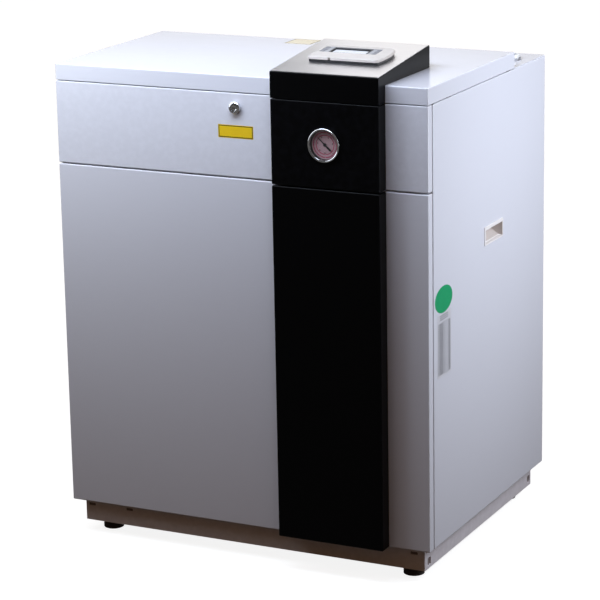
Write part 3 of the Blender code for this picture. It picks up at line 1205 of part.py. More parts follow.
def pump():
    """The heating circuit's pump: a volute with upright ports, its motor to the left, and its rotor."""
    centre = (RETURN_PORT_X, PORT_Y, PUMP_Z)
    hole = SHAFT_RADIUS + FIT
    inner = VOLUTE_RADIUS - VOLUTE_WALL
    back = -VOLUTE_HALF
    shaft_end = back - SHAFT_IN_MOTOR
    housing = add("pump_housing", pump_solid(centre, back), SHELL_BLACK)
    cavity = [(0, shaft_end - FIT), (hole, shaft_end - FIT), (hole, back + VOLUTE_WALL), (inner, back + VOLUTE_WALL)]
    cavity += [(inner, VOLUTE_HALF - VOLUTE_WALL), (0, VOLUTE_HALF - VOLUTE_WALL)]
    for sign in (-1, 1):
        port = [(0, PUMP_NECK_RADIUS), (PUMP_NECK_RADIUS, PUMP_NECK_RADIUS)]
        port += [(PUMP_NECK_RADIUS, PUMP_PORT_REACH - PUMP_FLANGE), (PUMP_FLANGE_RADIUS, PUMP_PORT_REACH - PUMP_FLANGE)]
        port += [(PUMP_FLANGE_RADIUS, PUMP_PORT_REACH), (0, PUMP_PORT_REACH)]
        join(housing, lathe([(r, sign * along) for r, along in port], 14, centre))
    cut(housing, lathe(cavity, 20, centre, "X"))
    bore = WATER_RADIUS - WATER_WALL
    cut(housing, rod(bore, -PUMP_PORT_REACH - OVERRUN, PUMP_PORT_REACH + OVERRUN, 10, centre))
    disc = [(0, -ROTOR_HALF), (ROTOR_RADIUS, -ROTOR_HALF), (ROTOR_RADIUS, -ROTOR_HALF / 2), (0, -ROTOR_HALF / 2)]
    rotor = add("pump_rotor", lathe(disc, 20, centre, "X"), BRASS, origin=centre)
    join(rotor, rod(SHAFT_RADIUS, shaft_end, ROTOR_HALF, 8, centre, "X"))
    for number in range(VANES):
        vane = block((-ROTOR_HALF * 0.7, -VANE_THICKNESS / 2, SHAFT_RADIUS / 2), (ROTOR_HALF, VANE_THICKNESS / 2, ROTOR_RADIUS * 0.95))
        turn = Matrix.Translation(centre) @ Matrix.Rotation(2 * math.pi * number / VANES, 4, "X")
        bmesh.ops.transform(vane, matrix=turn, verts=vane.verts)
        join(rotor, vane)


def pump_solid(centre, back):
    """The volute and motor as one turned solid, before its hollow is cut."""
    profile = [(0, VOLUTE_HALF), (VOLUTE_RADIUS, VOLUTE_HALF), (VOLUTE_RADIUS, back), (MOTOR_RADIUS, back)]
    profile += [(MOTOR_RADIUS, back - MOTOR_LENGTH), (0, back - MOTOR_LENGTH)]
    return lathe(profile, 24, centre, "X")


water_pipes()
pump()
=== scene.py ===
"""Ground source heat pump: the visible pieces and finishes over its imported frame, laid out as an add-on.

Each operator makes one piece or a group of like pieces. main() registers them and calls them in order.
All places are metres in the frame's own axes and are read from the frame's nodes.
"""

import json
import math

import bmesh
import bpy
from mathutils import Matrix, Vector


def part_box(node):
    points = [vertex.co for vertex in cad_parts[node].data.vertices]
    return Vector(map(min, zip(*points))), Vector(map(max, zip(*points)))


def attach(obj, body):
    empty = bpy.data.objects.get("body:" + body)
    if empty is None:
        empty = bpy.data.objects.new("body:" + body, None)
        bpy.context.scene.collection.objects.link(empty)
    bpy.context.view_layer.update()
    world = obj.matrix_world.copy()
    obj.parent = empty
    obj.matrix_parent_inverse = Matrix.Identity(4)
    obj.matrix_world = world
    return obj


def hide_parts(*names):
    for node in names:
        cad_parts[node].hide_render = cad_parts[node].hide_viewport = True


bl_info = {
    "name": "Ground Source Heat Pump",
    "version": (1, 0, 0),
    "blender": (4, 5, 0),
    "location": "3D View > Sidebar > Heat Pump",
    "description": "Builds the pieces, finishes and studio of a ground source heat pump",
    "category": "Object",
}

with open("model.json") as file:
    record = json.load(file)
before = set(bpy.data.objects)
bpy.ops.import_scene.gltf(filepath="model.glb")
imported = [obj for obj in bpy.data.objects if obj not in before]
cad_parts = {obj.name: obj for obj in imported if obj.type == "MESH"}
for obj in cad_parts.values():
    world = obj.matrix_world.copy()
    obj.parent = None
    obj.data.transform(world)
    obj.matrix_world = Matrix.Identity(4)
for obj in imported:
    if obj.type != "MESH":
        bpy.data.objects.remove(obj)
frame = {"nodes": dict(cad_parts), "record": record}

CABINET = "cabinet"
DOOR = "service_door"
# The angles from which an edge stays sharp in the shading, is rounded, or counts as a part of a bend
SMOOTH = math.radians(35)
ROUNDED = math.radians(40)
BENT = math.radians(6)
# How far a cutter reaches past the piece that it cuts
OVERCUT = 0.005
DOOR_LOW, DOOR_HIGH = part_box("upper_front_panel")
COVER_LOW, COVER_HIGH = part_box("upper_column_cover")
LID_LOW, LID_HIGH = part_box("lid")
DECK_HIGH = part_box("rear_deck")[1]
BASE_LOW, BASE_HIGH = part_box("base_pan")
REAR_LOW, REAR_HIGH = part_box("rear_panel")
BOX_LOW, BOX_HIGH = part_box("control_box")
HOUSING_LOW, HOUSING_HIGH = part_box("console_housing")
HALF_WIDTH = DOOR_HIGH.x
COLUMN_MIDDLE = (COVER_LOW.x + COVER_HIGH.x) / 2


def length(label, text, default):
    return bpy.props.FloatProperty(
        name=label, description=text, default=default, min=0, precision=5, unit="LENGTH"
    )


def angle(label, text, degrees):
    return bpy.props.FloatProperty(
        name=label, description=text, default=math.radians(degrees), unit="ROTATION"
    )


def colour(label, text, default):
    return bpy.props.FloatVectorProperty(
        name=label, description=text, default=default, size=3, min=0, max=1, subtype="COLOR"
    )


def amount(label, text, default):
    return bpy.props.FloatProperty(name=label, description=text, default=default, min=0)


def whole(label, text, default):
    return bpy.props.IntProperty(name=label, description=text, default=default, min=1)


class CabinetSizes(bpy.types.PropertyGroup):
    sheet: length("Sheet", "Thickness of the painted sheet", 0.0015)
    base_sheet: length("Base Sheet", "Thickness of the base pan's sheet", 0.002)
    bend: length("Bend", "Outer radius of a sheet's bends", 0.0022)
    bend_steps: whole("Bend Steps", "Faces across a bend", 5)
    softness: length("Edge Softness", "Radius that rounds a cut edge", 0.0004)
    screw_radius: length("Screw Radius", "Radius of a panel screw's head", 0.0042)
    screw_sink: length("Screw Sink", "Depth of the dimple round a panel screw", 0.0011)
    side_gap: length("Side Gap", "How far a side panel stands back from the front panels' edges", 0.0016)
    screw_inset: length("Screw Inset", "Distance of the rear panel's screws from its edge", 0.014)
    screws_across: whole("Screws Across", "Screws along the rear panel's top and bottom", 4)
    screws_up: whole("Screws Up", "Screws along each side of the rear panel, without the corners", 4)


class HandleSizes(bpy.types.PropertyGroup):
    rim: length("Rim", "Width of the handle's rim", 0.005)
    corner: length("Corner", "Radius of the rim's corners", 0.0035)
    round: length("Round", "Radius of the rim's edges", 0.0009)
    taper: length("Taper", "How far the pocket narrows towards its floor", 0.0012)
    wall: length("Wall", "Thickness of the pocket's wall", 0.002)
    drop: length("Drop", "How much wider the rim is above the pocket than beside it", 0.0021)
    ledge: amount("Ledge", "Depth of the pocket at its lower edge, as a share of its full depth", 0.30)
    ramp: length("Ramp", "Height of the sloping floor above the lower rim, up to the upright back", 0.0115)


class ConsoleSizes(bpy.types.PropertyGroup):
    rise: length("Rise", "Height of the housing's front edge above the lid", 0.0184)
    slope: angle("Slope", "Tilt of the housing's top", 5.93)
    edge: length("Edge", "Radius of the housing's upper edges", 0.0011)
    wall: length("Wall", "Thickness of the housing's sheet", 0.002)
    plate_margin: length("Plate Margin", "Black edge left round the bright plate", 0.0015)
    plate_thickness: length("Plate Thickness", "Thickness of the bright plate", 0.0012)
    gap: length("Gap", "Clearance between stacked pieces", 0.0003)


class ControllerSizes(bpy.types.PropertyGroup):
    width: length("Width", "Width of the controller's straight part", 0.144)
    depth: length("Depth", "Length of the controller along the slope", 0.088)
    start: length("Start", "Distance from the console's front edge", 0.072)
    shift: length("Shift", "Distance right of the column's middle", 0.0055)
    bulge: length("Bulge", "How far the right side swells out", 0.008)
    base_height: length("Base Height", "Height of the dark base", 0.0052)
    base_inset: length("Base Inset", "How far the base stands back from the shell", 0.0015)
    shell_height: length("Shell Height", "Height of the silver shell", 0.0055)
    shell_round: length("Shell Round", "Radius of the shell's upper edge", 0.0016)
    keypad_sink: length("Keypad Sink", "Depth of the keypad's floor under the shell's top", 0.0008)
    keypad_half_width: length("Keypad Half Width", "Half of the keypad's width", 0.0595)
    keypad_start: length("Keypad Start", "Distance of the keypad from the shell's front", 0.0370)
    keypad_depth: length("Keypad Depth", "Length of the keypad along the slope", 0.0385)
    window_middle: length("Window Middle", "Distance of the window's middle from the shell's front", 0.0560)
    window_half_width: length("Window Half Width", "Half of the window's width", 0.040)
    window_half_depth: length("Window Half Depth", "Half of the window's depth", 0.0172)
    window_sink: length("Window Sink", "Depth of the window's top under the shell's top", 0.0004)
    screen_sink: length("Screen Sink", "Depth of the lit screen under the window's top", 0.0032)
    screen_frame: length("Screen Frame", "Width of the dark frame round the lit screen", 0.0030)
    screen_drop: length("Screen Drop", "How far the screen sits below the window's middle", 0.0018)
    key_column: length("Key Column", "Distance of the key columns from the window's middle", 0.0535)
    key_pitch: length("Key Pitch", "Distance between the keys of a column", 0.0125)
    key_half_width: length("Key Half Width", "Half of a key's width", 0.0040)
    key_half_depth: length("Key Half Depth", "Half of a key's depth", 0.0045)
    key_proud: length("Key Proud", "Height of a key above the keypad's floor", 0.0007)
    key_travel: length("Key Travel", "Gap under a key", 0.0006)
    notch_at: length("Notch", "Distance of the release notch left of the column's middle", 0.0215)
    notch_width: length("Notch Width", "Width of the release notch", 0.0048)


class GaugeSizes(bpy.types.PropertyGroup):
    ring_radius: length("Ring Radius", "Outer radius of the bright rim", 0.0327)
    ring_proud: length("Ring Proud", "Height of the rim above the column", 0.006)
    case_radius: length("Case Radius", "Radius of the case behind the rim", 0.030)
    case_wall: length("Case Wall", "Thickness of the case's wall", 0.0015)
    dial_sink: length("Dial Sink", "Depth of the dial behind the rim", 0.0102)
    dial_thickness: length("Dial Thickness", "Thickness of the dial's plate", 0.001)
    scale_radius: length("Scale Radius", "Radius of the ring of ticks", 0.0222)
    tick_length: length("Tick Length", "Length of a scale tick", 0.0017)
    tick_width: length("Tick Width", "Width of a scale tick", 0.0003)
    ticks: whole("Ticks", "Ticks from the scale's start to its end", 51)
    numbers: whole("Numbers", "Numbers on the outer scale", 6)
    number_size: length("Number Size", "Height of the scale's numbers", 0.0046)
    scale_start: angle("Scale Start", "Angle of the scale's zero, counted from the right", 225)
    scale_sweep: angle("Scale Sweep", "Angle from the scale's zero to its end, clockwise", 270)
    needle_angle: angle("Needle Angle", "Angle of the needle at rest", 137.5)
    needle_length: length("Needle Length", "Length of the needle's point", 0.020)
    needle_tail: length("Needle Tail", "Length of the needle's tail", 0.0158)
    needle_width: length("Needle Width", "Width of the needle at its hub", 0.0019)


class LabelSizes(bpy.types.PropertyGroup):
    film: length("Film", "Thickness of a label", 0.00018)
    border: length("Border", "Width of the yellow label's border", 0.0019)
    corner: length("Corner", "Radius of a label's corners", 0.0008)
    oval_width: length("Oval Width", "Width of the green oval", 0.0850)
    oval_height: length("Oval Height", "Height of the green oval", 0.0530)
    line_pitch: length("Line Pitch", "Distance between the ruled lines of the data plate", 0.0042)


class WorksSizes(bpy.types.PropertyGroup):
    softness: length("Edge Softness", "Radius that rounds the edges of the inner pieces", 0.0006)
    terminal_ways: whole("Terminal Ways", "Screw terminals in the strip", 10)
    wire_radius: length("Wire Radius", "Radius of an insulated wire", 0.0013)
    plates: whole("Plates", "Plates in a heat exchanger", 26)
    thread_pitch: length("Thread Pitch", "Pitch of the thread in a pipe socket", 0.0023)


class Paints(bpy.types.PropertyGroup):
    white: colour("White", "Powder coat of the cabinet", (0.80, 0.81, 0.88))
    black: colour("Black", "Powder coat of the column", (0.0008, 0.0008, 0.0011))
    base_grey: colour("Base Grey", "Paint of the base pan", (0.755, 0.715, 0.745))
    ivory: colour("Ivory", "Plastic of the handles", (0.92, 0.885, 0.87))
    silver: colour("Silver", "Plastic of the controller's shell", (0.60, 0.555, 0.515))
    brushed: colour("Brushed", "Steel of the console's plate", (0.84, 0.815, 0.82))
    chrome: colour("Chrome", "Plating of the lock and the gauge", (0.42, 0.41, 0.42))
    zinc: colour("Zinc", "Galvanised sheet", (0.56, 0.57, 0.58))
    copper: colour("Copper", "Copper tube", (0.80, 0.40, 0.26))
    brass: colour("Brass", "Brass fittings", (0.72, 0.52, 0.24))
    yellow: colour("Yellow", "Film of the yellow labels", (1.0, 0.67, 0.016))
    green: colour("Green", "Film of the oval label", (0.004, 0.37, 0.14))


class StudioSettings(bpy.types.PropertyGroup):
    over_power: amount("Overhead Power", "Watts of the lamp above the front", 11.3)
    right_power: amount("Right Power", "Watts of the lamp at the right", 12.3)
    left_power: amount("Left Power", "Watts of the lamp at the front left", 4.05)
    rear_power: amount("Rear Power", "Watts of the lamp behind", 17)
    ambient: amount("Ambient", "Strength of the even light from all round", 0.106)
    floor_mirrored: amount("Floor Mirrored", "Glow of the floor in reflections", 0.13)
    room: amount("Room", "Strength of the room in front, as reflections see it", 0.07)
    floor_white: amount("Floor White", "Glow of the floor that the camera sees", 0.88)
    camera_place: bpy.props.FloatVectorProperty(
        name="Camera Place", description="Where the camera stands", default=(2.234824, -4.534714, 1.812540),
        size=3, subtype="TRANSLATION", unit="LENGTH"
    )
    camera_turn: angle("Camera Turn", "Turn of the view about the vertical", 26.347)
    camera_tilt: angle("Camera Tilt", "Downward tilt of the view", 14.930)
    camera_roll: angle("Camera Roll", "Roll of the view", -1.043)
    camera_lens: bpy.props.FloatProperty(
        name="Camera Lens", description="Focal length over a 36 mm wide sensor", default=152.93, min=10,
        unit="CAMERA"
    )


SETTINGS = {
    "heat_pump_cabinet": CabinetSizes,
    "heat_pump_handle": HandleSizes,
    "heat_pump_console": ConsoleSizes,
    "heat_pump_controller": ControllerSizes,
    "heat_pump_gauge": GaugeSizes,
    "heat_pump_labels": LabelSizes,
    "heat_pump_works": WorksSizes,
    "heat_pump_paints": Paints,
    "heat_pump_studio": StudioSettings,
}


def settings(name):
    return getattr(bpy.context.scene, f"heat_pump_{name}")


# Shapes

def middle_of(node):
    low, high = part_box(node)
    return (low + high) / 2


def way_middles(node, ways):
    """The middles along X of a device's ways, that are all as wide."""
    low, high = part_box(node)
    return [low.x + (high.x - low.x) * (way + 0.5) / ways for way in range(ways)]


def spokes(sides):
    """The cosine and the sine of as many even turns of a circle."""
    turns = [2 * math.pi * i / sides for i in range(sides)]
    return [(math.cos(t), math.sin(t)) for t in turns]


def moved(outline, across, up, *height):
    """An outline's pairs moved, and given a height if there is one."""
    return [(across + u, up + v, *height) for u, v in outline]


def block(low, high):
    bm = bmesh.new()
    low, high = Vector(low), Vector(high)
    matrix = Matrix.Translation((low + high) / 2) @ Matrix.Diagonal((*(high - low), 1))
    bmesh.ops.create_cube(bm, size=1, matrix=matrix)
    return bm


def slab(low, high, radius, steps=2):
    """A block with all its edges rounded."""
    bm = block(low, high)
    bmesh.ops.bevel(bm, geom=bm.edges[:], offset=radius, segments=steps, profile=0.5, affect="EDGES")
    return bm


def pad(x, z, half_x, half_z, front, back, radius, steps=2):
    """A slab about a point of the X Z plane, from one depth to another."""
    return slab((x - half_x, front, z - half_z), (x + half_x, back, z + half_z), radius, steps)


def merged(*parts):
    """One mesh from several; a part may be a pair with the number of its finish."""
    whole_mesh = bmesh.new()
    for part in parts:
        bm, number = part if isinstance(part, tuple) else (part, 0)
        for face in bm.faces:
            face.material_index = number
        mesh = bpy.data.meshes.new("part")
        bm.to_mesh(mesh)
        bm.free()
        whole_mesh.from_mesh(mesh)
        bpy.data.meshes.remove(mesh)
    return whole_mesh


def folded(low, high, open_side, bend, steps):
    """The outer skin of a sheet tray, open at a side such as '+Y', with a bend along every closed edge."""
    bm = block(low, high)
    axis = "XYZ".index(open_side[1])
    at = high[axis] if open_side[0] == "+" else low[axis]
    missing = [f for f in bm.faces if all(abs(v.co[axis] - at) < 1e-6 for v in f.verts)]
    bmesh.ops.delete(bm, geom=missing, context="FACES")
    bends = [e for e in bm.edges if not e.is_boundary]
    bmesh.ops.bevel(bm, geom=bends, offset=bend, segments=steps, profile=0.5, affect="EDGES")
    return bm


def drawn(outline, axis, start, stop):
    """An outline of two coordinates, in X Y Z order without the axis, drawn along that axis."""
    bm = bmesh.new()
    index = "XYZ".index(axis)
    rings = []
    for at in (start, stop):
        ring = []
        for pair in outline:
            point = list(pair)
            point.insert(index, at)
            ring.append(bm.verts.new(point))
        rings.append(ring)
    bridge(bm, rings)
    for ring in rings:
        bm.faces.new(ring)
    return bm


def bridge(bm, rings):
    """Faces between rings of as many points."""
    faces = []
    for a, b in zip(rings, rings[1:]):
        for i in range(len(a)):
            j = (i + 1) % len(a)
            faces.append(bm.faces.new((a[i], a[j], b[j], b[i])))
    return faces


def turned(profile, sides, centre, axis="Z"):
    """A closed profile of (radius, distance along the axis) turned about an axis through centre."""
    bm = bmesh.new()
    rings = []
    for radius, along in profile:
        if radius == 0:
            rings.append([bm.verts.new((0, 0, along))])
            continue
        rings.append([bm.verts.new((radius * c, radius * s, along)) for c, s in spokes(sides)])
    for a, b in zip(rings, rings[1:] + rings[:1]):
        if len(a) == 1 and len(b) == 1:
            continue
        for i in range(sides):
            j = (i + 1) % sides
            bm.faces.new(list(dict.fromkeys((a[i % len(a)], a[j % len(a)], b[j % len(b)], b[i % len(b)]))))
    quarter = math.pi / 2
    turn = {"X": Matrix.Rotation(quarter, 4, "Y"), "Y": Matrix.Rotation(-quarter, 4, "X"), "Z": Matrix()}
    bmesh.ops.transform(bm, matrix=Matrix.Translation(centre) @ turn[axis], verts=bm.verts)
    return bm


def rod(radius, start, stop, sides, centre, axis="Z", edge=0.0):
    profile = [(0, start), (radius - edge, start), (radius, start + edge), (radius, stop - edge)]
    profile += [(radius - edge, stop), (0, stop)]
    return turned(list(dict.fromkeys(profile)), sides, centre, axis)


def arc(radius, centre, start, stop, steps):
    """Points of an arc in a plane, as pairs."""
    turns = [start + (stop - start) * i / steps for i in range(steps + 1)]
    return [(centre[0] + radius * math.cos(t), centre[1] + radius * math.sin(t)) for t in turns]


def rounded_loop(half_u, half_v, radius, steps=4):
    """A rectangle's outline with round corners, counted from its lower left corner."""
    points = []
    for number, (u, v) in enumerate(((-1, -1), (1, -1), (1, 1), (-1, 1))):
        start = math.pi + number * math.pi / 2
        middle = (u * (half_u - radius), v * (half_v - radius))
        points += arc(radius, middle, start, start + math.pi / 2, steps)
    return points


def lofted(loops, place, finishes=None, cap_first=False, cap_last=True):
    """A skin over loops of points, each moved by place; finishes numbers the bands between the loops."""
    bm = bmesh.new()
    rings = [[bm.verts.new(place @ Vector(point)) for point in loop] for loop in loops]
    for number, (a, b) in enumerate(zip(rings, rings[1:])):
        for face in bridge(bm, [a, b]):
            face.material_index = finishes[number] if finishes else 0
    if cap_first:
        bm.faces.new(rings[0])
    if cap_last:
        bm.faces.new(rings[-1]).material_index = finishes[-1] if finishes else 0
    return bm


def bent_path(points, radius, steps=5):
    """Straight runs between the points, with an arc of the bend radius at each corner."""
    points = [Vector(p) for p in points]
    path = [points[0]]
    for before, corner, after in zip(points, points[1:], points[2:]):
        to_before, to_after = (before - corner).normalized(), (after - corner).normalized()
        half = to_before.angle(to_after) / 2
        setback = radius / math.tan(half)
        centre = corner + (to_before + to_after).normalized() * (radius / math.sin(half))
        start = (corner + to_before * setback - centre).normalized()
        stop = (corner + to_after * setback - centre).normalized()
        path += [centre + start.slerp(stop, i / steps) * radius for i in range(steps + 1)]
    return path + [points[-1]]


def piped(path, radius, sides):
    """A round bar along a path, closed at both ends."""
    bm = bmesh.new()
    path = [Vector(p) for p in path]
    normal = (path[1] - path[0]).orthogonal().normalized()
    rings = []
    for i, point in enumerate(path):
        ahead = path[min(i + 1, len(path) - 1)] - path[max(i - 1, 0)]
        tangent = ahead.normalized()
        normal = (normal - tangent * normal.dot(tangent)).normalized()
        side = tangent.cross(normal)
        rings.append([bm.verts.new(point + (normal * c + side * s) * radius) for c, s in spokes(sides)])
    bridge(bm, rings)
    bm.faces.new(rings[0])
    bm.faces.new(rings[-1])
    return bm


def linked(name, data):
    """A new object with this data, in the scene."""
    obj = bpy.data.objects.new(name, data)
    bpy.context.scene.collection.objects.link(obj)
    return obj


def make_object(name, bm, *finishes):
    mesh = bpy.data.meshes.new(name)
    bm.to_mesh(mesh)
    bm.free()
    for material in finishes:
        mesh.materials.append(material)
    return linked(name, mesh)


def solid(name, bm, *finishes):
    """An object from a closed mesh, its faces turned outwards."""
    bmesh.ops.recalc_face_normals(bm, faces=bm.faces)
    return make_object(name, bm, *finishes)


def plain(obj):
    """Turns the object's live modifiers into a plain mesh."""
    bpy.context.view_layer.update()
    graph = bpy.context.evaluated_depsgraph_get()
    mesh = bpy.data.meshes.new_from_object(
        obj.evaluated_get(graph), preserve_all_data_layers=True, depsgraph=graph
    )
    before = obj.data
    obj.modifiers.clear()
    obj.data = mesh
    bpy.data.meshes.remove(before)
    mesh.name = obj.name
    return obj


def bored(obj, *cutters):
    """Cuts the cutters' shapes out of the object."""
    helpers = [solid("cutter", bm) for bm in cutters]
    for helper in helpers:
        modifier = obj.modifiers.new("Cut", "BOOLEAN")
        modifier.operation = "DIFFERENCE"
        modifier.solver = "EXACT"
        modifier.object = helper
    plain(obj)
    for helper in helpers:
        mesh = helper.data
        bpy.data.objects.remove(helper)
        bpy.data.meshes.remove(mesh)
    return obj


def walled(obj, thickness):
    """Gives an open skin a wall of this thickness on its inner side."""
    modifier = obj.modifiers.new("Wall", "SOLIDIFY")
    modifier.thickness = thickness
    modifier.offset = -1
    modifier.use_even_offset = True
    return plain(obj)


def mark_edges(obj, narrow=0.0035):
    """Stores 1 at the points inside a bend or a rounded edge, where a finish shows wear and painted
    highlight.
    """
    bm = bmesh.new()
    bm.from_mesh(obj.data)
    layer = bm.verts.layers.float.new("edge")
    for vert in bm.verts:
        faces = vert.link_faces
        if not faces or any(min(e.calc_length() for e in f.edges) > narrow for f in faces):
            continue
        if max(faces[0].normal.angle(f.normal, 0) for f in faces) > BENT:
            vert[layer] = 1
    bm.to_mesh(obj.data)
    bm.free()


def settle(obj, body, slot, *nodes, softness=0.0, steps=2):
    """Rounds sharp edges, keeps flats flat in the shading and puts the piece on its body."""
    if softness:
        modifier = obj.modifiers.new("Soft Edges", "BEVEL")
        modifier.width = softness
        modifier.segments = steps
        modifier.limit_method = "ANGLE"
        modifier.angle_limit = ROUNDED
        modifier.use_clamp_overlap = True
        plain(obj)
    mark_edges(obj)
    obj.data.shade_smooth()
    obj.data.set_sharp_from_angle(angle=SMOOTH)
    weights = obj.modifiers.new("Flat Faces First", "WEIGHTED_NORMAL")
    weights.keep_sharp = True
    plain(obj)
    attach(obj, body)
    if nodes:
        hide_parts(*nodes)
    return obj


def dressed(node, *finishes):
    """A copy of a node's mesh with its loose triangles merged and its flats made whole."""
    bm = bmesh.new()
    bm.from_mesh(frame["nodes"][node].data)
    bmesh.ops.remove_doubles(bm, verts=bm.verts, dist=2e-6)
    bmesh.ops.dissolve_limit(bm, angle_limit=math.radians(0.5), verts=bm.verts, edges=bm.edges)
    for face in bm.faces:
        face.material_index = 0
    return solid(f"{node}_dressed", bm, *finishes)


# Geometry Nodes for what repeats

SOCKETS = {float: "Float", int: "Int", tuple: "Vector"}


def socket_name(word):
    return word.replace("_", " ").title()


def node_tree(kind, name, inputs, output, output_kind):
    """A node tree whose inputs have a default or the word for their kind; returned with its two ends."""
    tree = bpy.data.node_groups.new(name, kind)
    for label, default in inputs.items():
        word = default if isinstance(default, str) else SOCKETS[type(default)]
        socket = tree.interface.new_socket(label, in_out="INPUT", socket_type=f"NodeSocket{word}")
        if word != default:
            socket.default_value = default
    tree.interface.new_socket(output, in_out="OUTPUT", socket_type=f"NodeSocket{output_kind}")
    return tree, tree.nodes.new("NodeGroupInput").outputs, tree.nodes.new("NodeGroupOutput").inputs


def put(tree, kind, inputs=None, **options):
    """Adds a node; an input may be a value or another node's socket."""
    made = tree.nodes.new(kind)
    for option, value in options.items():
        setattr(made, option, value)
    for key, value in (inputs or {}).items():
        if isinstance(value, bpy.types.NodeSocket):
            tree.links.new(value, made.inputs[key])
        else:
            made.inputs[key].default_value = value
    return made


def result_of(tree, kind, inputs=None, **options):
    """Adds a node and gives its first output."""
    return put(tree, kind, inputs, **options).outputs[0]


def reckon(tree, operation, *values, **options):
    """The result of a sum; its terms may be numbers or sockets."""
    return result_of(tree, "ShaderNodeMath", dict(enumerate(values)), operation=operation, **options)


def end_tree(tree, sizes, ends, placing):
    """Sets instances on their points, realises them, gives them their finish and joins them to the output."""
    placed = result_of(tree, "GeometryNodeInstanceOnPoints", placing)
    real = result_of(tree, "GeometryNodeRealizeInstances", {"Geometry": placed})
    named = result_of(tree, "GeometryNodeSetMaterial", {"Geometry": real, "Material": sizes["Finish"]})
    tree.links.new(named, ends[0])
    return tree


def screw_head_tree(name):
    """Tapered screw heads with a cross recess, one on each point of a mesh."""
    tree, sizes, ends = node_tree("GeometryNodeTree", name, {
        "Points": "Geometry", "Head Radius": 0.004, "Head Height": 0.0012, "Recess Width": 0.0009,
        "Recess Depth": 0.0006, "Turn": "Rotation", "Finish": "Material",
    }, "Heads", "Geometry")
    head = result_of(tree, "GeometryNodeMeshCone", {
        "Vertices": 20, "Radius Top": reckon(tree, "MULTIPLY", sizes["Head Radius"], 0.72),
        "Radius Bottom": sizes["Head Radius"], "Depth": sizes["Head Height"],
    })
    reach = reckon(tree, "MULTIPLY", sizes["Head Radius"], 1.05)
    depth = reckon(tree, "MULTIPLY", sizes["Recess Depth"], 2.0)
    lift = result_of(tree, "ShaderNodeCombineXYZ", {"Z": sizes["Head Height"]})
    cross = put(tree, "GeometryNodeMeshBoolean", {0: head}, operation="DIFFERENCE")
    for x, y in ((reach, sizes["Recess Width"]), (sizes["Recess Width"], reach)):
        size = result_of(tree, "ShaderNodeCombineXYZ", {"X": x, "Y": y, "Z": depth})
        bar = result_of(tree, "GeometryNodeMeshCube", {"Size": size})
        lifted = result_of(tree, "GeometryNodeTransform", {"Geometry": bar, "Translation": lift})
        tree.links.new(lifted, cross.inputs[1])
    placing = {"Points": sizes["Points"], "Instance": cross.outputs[0], "Rotation": sizes["Turn"]}
    return end_tree(tree, sizes, ends, placing)


def bar_row_tree(name):
    """Like bars in a row: plates, ruled lines, fins."""
    tree, sizes, ends = node_tree("GeometryNodeTree", name, {
        "Base": "Geometry", "Count": 10, "Start": (0, 0, 0), "Step": (0, 0, 0.01),
        "Bar Size": (0.01, 0.01, 0.001), "Finish": "Material",
    }, "Bars", "Geometry")
    line = result_of(tree, "GeometryNodeMeshLine", {
        "Count": sizes["Count"], "Start Location": sizes["Start"], "Offset": sizes["Step"],
    })
    bar = result_of(tree, "GeometryNodeMeshCube", {"Size": sizes["Bar Size"]})
    return end_tree(tree, sizes, ends, {"Points": line, "Instance": bar})


def tick_ring_tree(name):
    """Ticks round a dial that faces -Y, from a start angle clockwise through a sweep."""
    tree, sizes, ends = node_tree("GeometryNodeTree", name, {
        "Base": "Geometry", "Count": 51, "Centre": (0, 0, 0), "Radius": 0.02, "Start Angle": 3.9,
        "Sweep": 4.7, "Tick Size": (0.002, 0.0001, 0.0003), "Finish": "Material",
    }, "Ticks", "Geometry")
    line = result_of(tree, "GeometryNodeMeshLine", {"Count": sizes["Count"], "Offset": (0, 0, 0)})
    index = result_of(tree, "GeometryNodeInputIndex")
    share = reckon(tree, "DIVIDE", index, reckon(tree, "SUBTRACT", sizes["Count"], 1.0))
    back = reckon(tree, "MULTIPLY", share, sizes["Sweep"])
    turn = reckon(tree, "SUBTRACT", sizes["Start Angle"], back)
    across, up = reckon(tree, "COSINE", turn), reckon(tree, "SINE", turn)
    way = result_of(tree, "ShaderNodeCombineXYZ", {"X": across, "Z": up})
    reach = result_of(tree, "ShaderNodeVectorMath", {0: way, "Scale": sizes["Radius"]}, operation="SCALE")
    spot = result_of(tree, "ShaderNodeVectorMath", {0: reach, 1: sizes["Centre"]}, operation="ADD")
    ring = result_of(tree, "GeometryNodeSetPosition", {"Geometry": line, "Position": spot})
    facing = result_of(tree, "ShaderNodeCombineXYZ", {"Y": reckon(tree, "MULTIPLY", turn, -1.0)})
    rotation = result_of(tree, "FunctionNodeEulerToRotation", {0: facing})
    bar = result_of(tree, "GeometryNodeMeshCube", {"Size": sizes["Tick Size"]})
    return end_tree(tree, sizes, ends, {"Points": ring, "Instance": bar, "Rotation": rotation})


TREES = {"Screw heads": screw_head_tree, "Row of bars": bar_row_tree, "Dial ticks": tick_ring_tree}


def repeated(name, tree_name, finish_name, body, slot, points=((0, 0, 0),), **sizes):
    """A piece made by one of the trees from these inputs, as a plain mesh on its body."""
    values = {socket_name(key): value for key, value in sizes.items()}
    values["Finish"] = finish(finish_name)
    bm = bmesh.new()
    for point in points:
        bm.verts.new(point)
    obj = make_object(name, bm)
    modifier = obj.modifiers.new(tree_name, "NODES")
    modifier.node_group = bpy.data.node_groups.get(tree_name) or TREES[tree_name](tree_name)
    for item in modifier.node_group.interface.items_tree:
        if item.item_type == "SOCKET" and item.in_out == "INPUT" and item.name in values:
            modifier[item.identifier] = values[item.name]
    plain(obj)
    if not obj.data.polygons:
        raise RuntimeError(f"{tree_name} made nothing for {name}")
    return settle(obj, body, slot)


